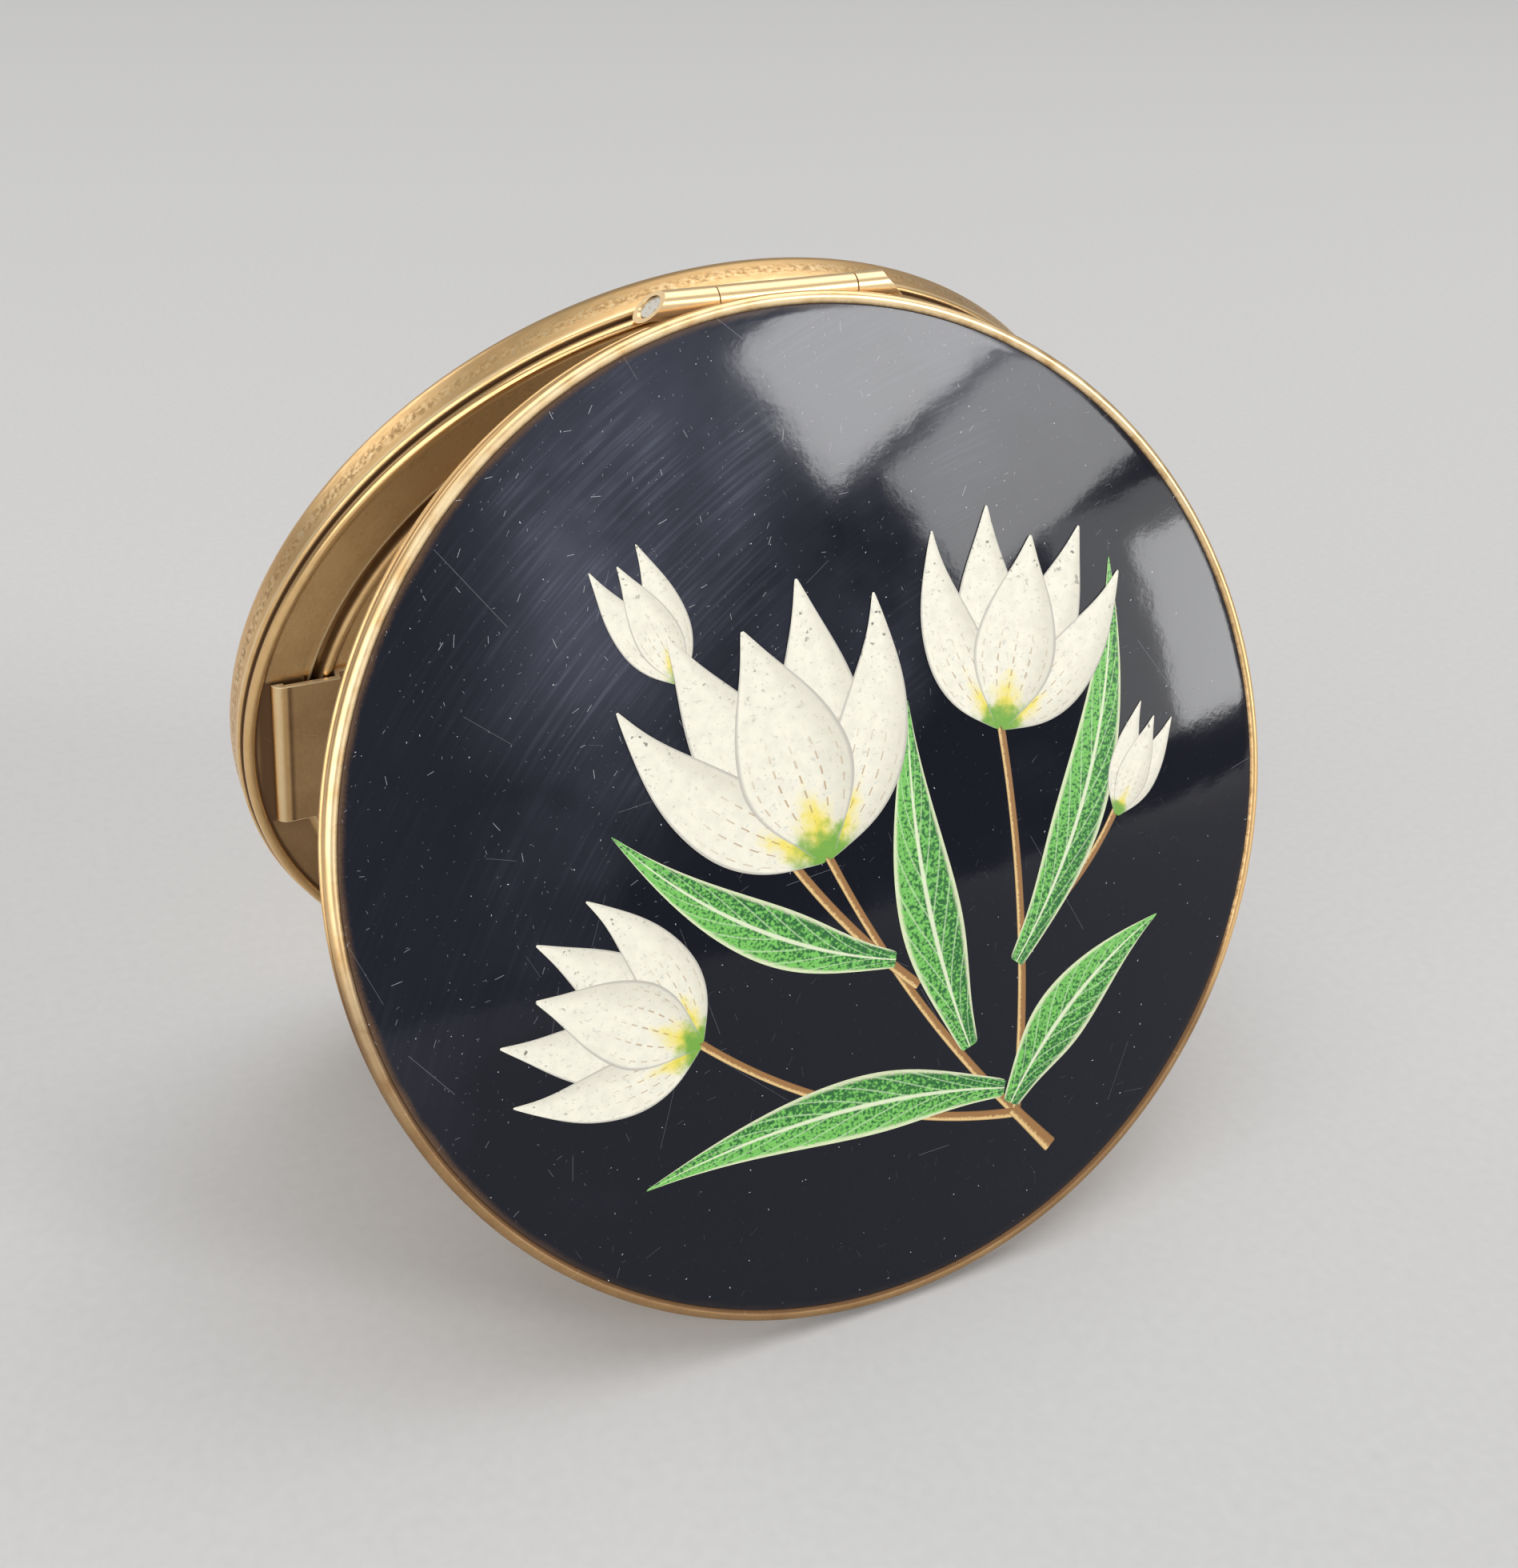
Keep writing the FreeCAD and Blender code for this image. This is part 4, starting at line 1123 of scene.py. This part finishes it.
# %% [markdown]
# A blank is copied for every petal, with a mesh of its own. The copy is scaled to its length and width,
# bent in its plane by Simple Deform, turned to its heading and moved to its foot. Subdivision rounds its
# outline, Shrinkwrap lays it on the dome, and Solidify gives the paint its thickness. Later pieces lie a
# little higher.

# %% Laying a blank on the enamel
PAINT_DEPTH, LAYER_STEP = 0.03, 0.003
ROUNDING = 2
ABOVE_LID = 8.0
laid = {"petal": [], "leaf": [], "stem": []}


def lay(kind, foot, tip, width, bend=0.0):
    """Copies a blank onto the enamel from foot to tip; bend, in degrees, curves it to the left."""
    piece = BLANKS[kind].copy()
    piece.data = BLANKS[kind].data.copy()
    piece.name = f"{kind}_{len(laid[kind])}"
    bpy.context.scene.collection.objects.link(piece)
    chord = Vector(tip) - Vector(foot)
    half_bend = math.radians(bend) / 2
    length = chord.length * (half_bend / math.sin(half_bend) if bend else 1)
    apply_place(piece, Matrix.Diagonal((length, width, 1, 1)))
    if bend:
        bending = {"deform_method": "BEND", "deform_axis": "Z", "angle": 2 * half_bend}
        finish_modifier(piece, "SIMPLE_DEFORM", **bending)
    heading = math.atan2(chord.y, chord.x) - half_bend
    apply_place(piece, Matrix.Translation((*foot, ABOVE_LID)) @ Matrix.Rotation(heading, 4, "Z"))
    layer = sum(len(pieces) for pieces in laid.values())
    finish_modifier(piece, "SUBSURF", levels=ROUNDING, render_levels=ROUNDING)
    wrapping = {"target": enamel_face, "wrap_method": "PROJECT", "use_project_z": True}
    directions = {"use_positive_direction": False, "use_negative_direction": True}
    finish_modifier(piece, "SHRINKWRAP", offset=PAINT_DEPTH + layer * LAYER_STEP, **wrapping, **directions)
    finish_modifier(piece, "SOLIDIFY", thickness=PAINT_DEPTH, offset=-1)
    laid[kind].append(piece)


# %% [markdown]
# The spray grows from one cut stalk at the lower right and fans out to the upper left. Stems come first,
# then leaves, and blooms last, so that each lies over what carries it. A tulip is five petals with one
# foot: two behind, two at the sides that curl back, and one in front. A bud has three.

# %% The spray
ROOT = (12.0, -27.0)
STEM_WIDTH = 0.85
STEMS = [
    (ROOT, (-3.0, -1.0), -18),
    (ROOT, (13.5, 6.0), 14),
    (ROOT, (-15.5, -13.0), -34),
    ((3.8, -13.6), (-12.5, 14.0), -30),
    ((13.8, -12.0), (24.0, -3.5), 30),
]
STALK_FOOT, STALK_TOP, STALK_WIDTH = (15.2, -31.0), (11.7, -26.6), 1.35
LEAVES = [
    ((11.5, -26.0), (27.5, -13.5), 5.6, -34),
    ((11.0, -24.5), (-20.5, -24.0), 5.2, 30),
    ((8.0, -20.0), (5.4, 9.0), 5.6, -24),
    ((13.0, -14.0), (25.5, 17.0), 5.0, 38),
    ((2.0, -11.0), (-19.5, 3.5), 4.6, -36),
]
TULIP = [
    (15, -16, 0.98, 0.36),
    (-15, 16, 0.98, 0.36),
    (33, -44, 0.94, 0.30),
    (-33, 44, 0.94, 0.30),
    (0, 6, 0.86, 0.44),
]
BUD = [(11, -20, 1.0, 0.30), (-11, 20, 1.0, 0.30), (0, 5, 0.92, 0.34)]
BLOOMS = [
    ((-12.5, 13.5), 112, 10.5, BUD),
    ((24.0, -4.0), 58, 9.5, BUD),
    ((-15.0, -13.5), 152, 15.5, TULIP),
    ((13.5, 5.5), 72, 17.5, TULIP),
    ((-3.0, -1.5), 104, 21.5, TULIP),
]


def polar(foot, heading, length):
    angle = math.radians(heading)
    return (foot[0] + length * math.cos(angle), foot[1] + length * math.sin(angle))


for foot, tip, bend in STEMS:
    lay("stem", foot, tip, STEM_WIDTH, bend)
lay("stem", STALK_FOOT, STALK_TOP, STALK_WIDTH)
for foot, tip, width, bend in LEAVES:
    lay("leaf", foot, tip, width, bend)
for foot, heading, length, petals in BLOOMS:
    for turn, bend, share, width in petals:
        lay("petal", foot, polar(foot, heading + turn, length * share), length * width, bend)
print({kind: len(pieces) for kind, pieces in laid.items()})

# %% [markdown]
# The paint follows the UV map of each piece: U runs from foot to tip, V from edge to edge. Petals are
# cream white with grey pits, a drawn edge, dotted veins and a yellow-green flame at the foot, and their
# tips are rubbed down to the enamel in specks. Leaves are stippled in two greens with pale veins, and
# stems are golden brown with a light side.

# %% Paints
CREAM, DULL_CREAM, CREAM_SHADE = (0.81, 0.78, 0.66), (0.68, 0.66, 0.56), (0.56, 0.53, 0.44)
PIT_GREY, EDGE_GREY, VEIN_BROWN = (0.45, 0.45, 0.42), (0.42, 0.40, 0.36), (0.42, 0.27, 0.13)
FLAME_YELLOW, FOOT_GREEN = (0.78, 0.66, 0.10), (0.16, 0.36, 0.05)
DEEP_GREEN, LEAF_GREEN = (0.02, 0.13, 0.03), (0.17, 0.50, 0.10)
VEIN_GREEN, MIDRIB_GREEN, RIM_GREEN = (0.50, 0.68, 0.40), (0.72, 0.78, 0.55), (0.74, 0.76, 0.52)
STEM_BROWN, STEM_GOLD, STEM_DARK = (0.30, 0.15, 0.05), (0.72, 0.50, 0.22), (0.14, 0.07, 0.03)


def along_and_edge(spot):
    """How far along a petal, leaf or stem, how far off its middle line, and how far in from its edge."""
    uv = spot.place.node("ShaderNodeTexCoord", {}, "UV")
    along, across = part_of(uv, X), part_of(uv, Y) - 0.5
    return along, across, 1 - abs(across) * 2


def paint(tone, roughness, relief):
    """Inputs of a paint with a slight grain."""
    return {
        "Base Color": tone,
        "Roughness": roughness,
        "Specular IOR Level": 0.35,
        "Normal": bumped(relief, 0.3, 0.00002),
    }


def petal_paint(spot):
    along, across, edge = along_and_edge(spot)
    mottle = noise(spot.place, 1.1, 4)
    pits = ramp(noise(spot.place, 3.2, 4), 0.60, 0.68)
    drawn_edge = ramp(edge, 0.10, 0.02) * ramp(along, 1.02, 0.85)
    stripe = ramp(abs(across.math("SINE", across * 16)), 0.22, 0.06)
    dots = across.math("SINE", along * 95) > -0.1
    vein = stripe * dots * ramp(along, 0.62, 0.30) * ramp(along, 0.10, 0.22) * ramp(edge, 0.1, 0.3)
    flame = ramp(along + abs(across) * 0.5 + (mottle - 0.5) * 0.25, 0.36, 0.14)
    foot = ramp(along + (mottle - 0.5) * 0.2, 0.16, 0.04)
    shade = ramp(across, -0.05, -0.48) * 0.55
    rubbed = ramp(noise(spot.place, 1.7, 4), 0.64, 0.69) * ramp(along, 0.55, 0.95)
    tone = coated(
        CREAM,
        (ramp(mottle, 0.35, 0.7) * 0.5, DULL_CREAM),
        (shade, CREAM_SHADE),
        (pits * 0.45, PIT_GREY),
        (flame, FLAME_YELLOW),
        (foot, FOOT_GREEN),
        (vein * 0.8, VEIN_BROWN),
        (drawn_edge * 0.8, EDGE_GREY),
        (rubbed * 0.8, ENAMEL_BLACK),
    )
    return paint(tone, 0.38 + mottle * 0.15, mottle - pits)


def leaf_paint(spot):
    along, across, edge = along_and_edge(spot)
    stipple = noise(spot.place, 4.0, 3)
    slope = along.math("FRACT", along * 9 - abs(across) * 4.5)
    side_vein = ramp(abs(slope - 0.5), 0.10, 0.02) * ramp(along, 0.98, 0.8)
    middle = ramp(abs(across), 0.05, 0.02)
    rim = ramp(edge + (stipple - 0.5) * 0.2, 0.20, 0.06)
    lit = ramp(stipple + across * 0.16 + (along - 0.5) * 0.10, 0.40, 0.58)
    tone = coated(
        DEEP_GREEN,
        (lit, LEAF_GREEN),
        (side_vein * 0.6, VEIN_GREEN),
        (middle * 0.9, MIDRIB_GREEN),
        (rim * 0.8, RIM_GREEN),
    )
    return paint(tone, 0.36 + stipple * 0.12, stipple)


def stem_paint(spot):
    _, across, edge = along_and_edge(spot)
    stipple = noise(spot.place, 5.0, 3)
    light = ramp(across + (stipple - 0.5) * 0.5, 0.02, 0.3)
    rim = ramp(edge, 0.25, 0.05) * 0.6
    tone = coated(STEM_BROWN, (light, STEM_GOLD), (rim, STEM_DARK))
    return paint(tone, 0.36 + stipple * 0.1, stipple)


LOOKS = {"petal": petal_paint, "leaf": leaf_paint, "stem": stem_paint}
PAINTS = {kind: new_finish(f"{kind}_paint", "lid", look) for kind, look in LOOKS.items()}
print("paints:", sorted(PAINTS))

# %% [markdown]
# Each kind of paint is one layer on the real lid, so its pieces are joined before they ride on the lid.
# The blanks have done their work and are removed, and the enamel now goes to its place as well.

# %% Joining the paint and settling the enamel
def joined(name, pieces):
    bpy.ops.object.select_all(action="DESELECT")
    for piece in pieces:
        piece.select_set(True)
    bpy.context.view_layer.objects.active = pieces[0]
    bpy.ops.object.join()
    layer = bpy.context.object
    layer.name = name
    layer.data.name = name
    bpy.ops.object.shade_smooth_by_angle(angle=SHARP_ANGLE)
    return layer


for kind, pieces in laid.items():
    settle(joined(f"painted_{kind}", pieces), "lid", "black_enamel", PAINTS[kind])
    bpy.data.objects.remove(BLANKS[kind])
settle(enamel_face, "lid", "black_enamel", black_enamel, "lid_enamel")

# %% [markdown]
# ## Hidden pieces
#
# The pan, its sifter, the card behind the mirror and the riveted catch spring are inside the shells.
# Their CAD shapes are right and hardly show, so they stay as they are and only get a finish in their
# material slots.

# %% Finishes of the CAD nodes that stay
GAUZE_DARK, GAUZE_LIGHT = (0.52, 0.46, 0.36), (0.80, 0.74, 0.62)
CARD_DARK, CARD_LIGHT = (0.34, 0.30, 0.25), (0.50, 0.45, 0.38)


def plain_finish(name, body, dark, light, roughness, scale):
    def look(spot):
        fibre = noise(spot.place, scale, 5)
        return {
            "Base Color": mixed(ramp(fibre, 0.3, 0.7), dark, light),
            "Roughness": roughness + fibre * 0.1,
            "Normal": bumped(fibre, 0.4, 0.00003),
        }

    return new_finish(name, body, look)


def inside_dirt(spot):
    return ramp(noise(spot.place, 0.4, 3), 0.4, 0.7) * 0.4


inside_brass = brass("inside_brass", "base", inside_dirt, 0.3)
KEPT = {
    "powder_pan": inside_brass,
    "sifter_ring": inside_brass,
    "catch_spring": inside_brass,
    "catch_rivets": inside_brass,
    "sifter_net": plain_finish("gauze", "base", GAUZE_DARK, GAUZE_LIGHT, 0.85, 4.0),
    "mirror_backing": plain_finish("grey_card", "lid", CARD_DARK, CARD_LIGHT, 0.9, 2.0),
}
for name, finish in KEPT.items():
    mesh = frame["nodes"][name].data
    mesh.materials.clear()
    mesh.materials.append(finish)
print("kept CAD nodes:", sorted(KEPT))

# %% [markdown]
# ## Floor finish
#
# The floor is a matt pale card with a faint grain.

FLOOR_DARK, FLOOR_LIGHT, FLOOR_GRAIN = (0.55, 0.545, 0.54), (0.61, 0.605, 0.60), 900


def pale_card(spot):
    grain = noise(spot.place.node("ShaderNodeTexCoord", {}, "Object"), FLOOR_GRAIN, 3)
    return {"Base Color": mixed(grain, FLOOR_DARK, FLOOR_LIGHT), "Roughness": 0.75}


floor.data.materials.append(new_finish("pale_card", "base", pale_card))
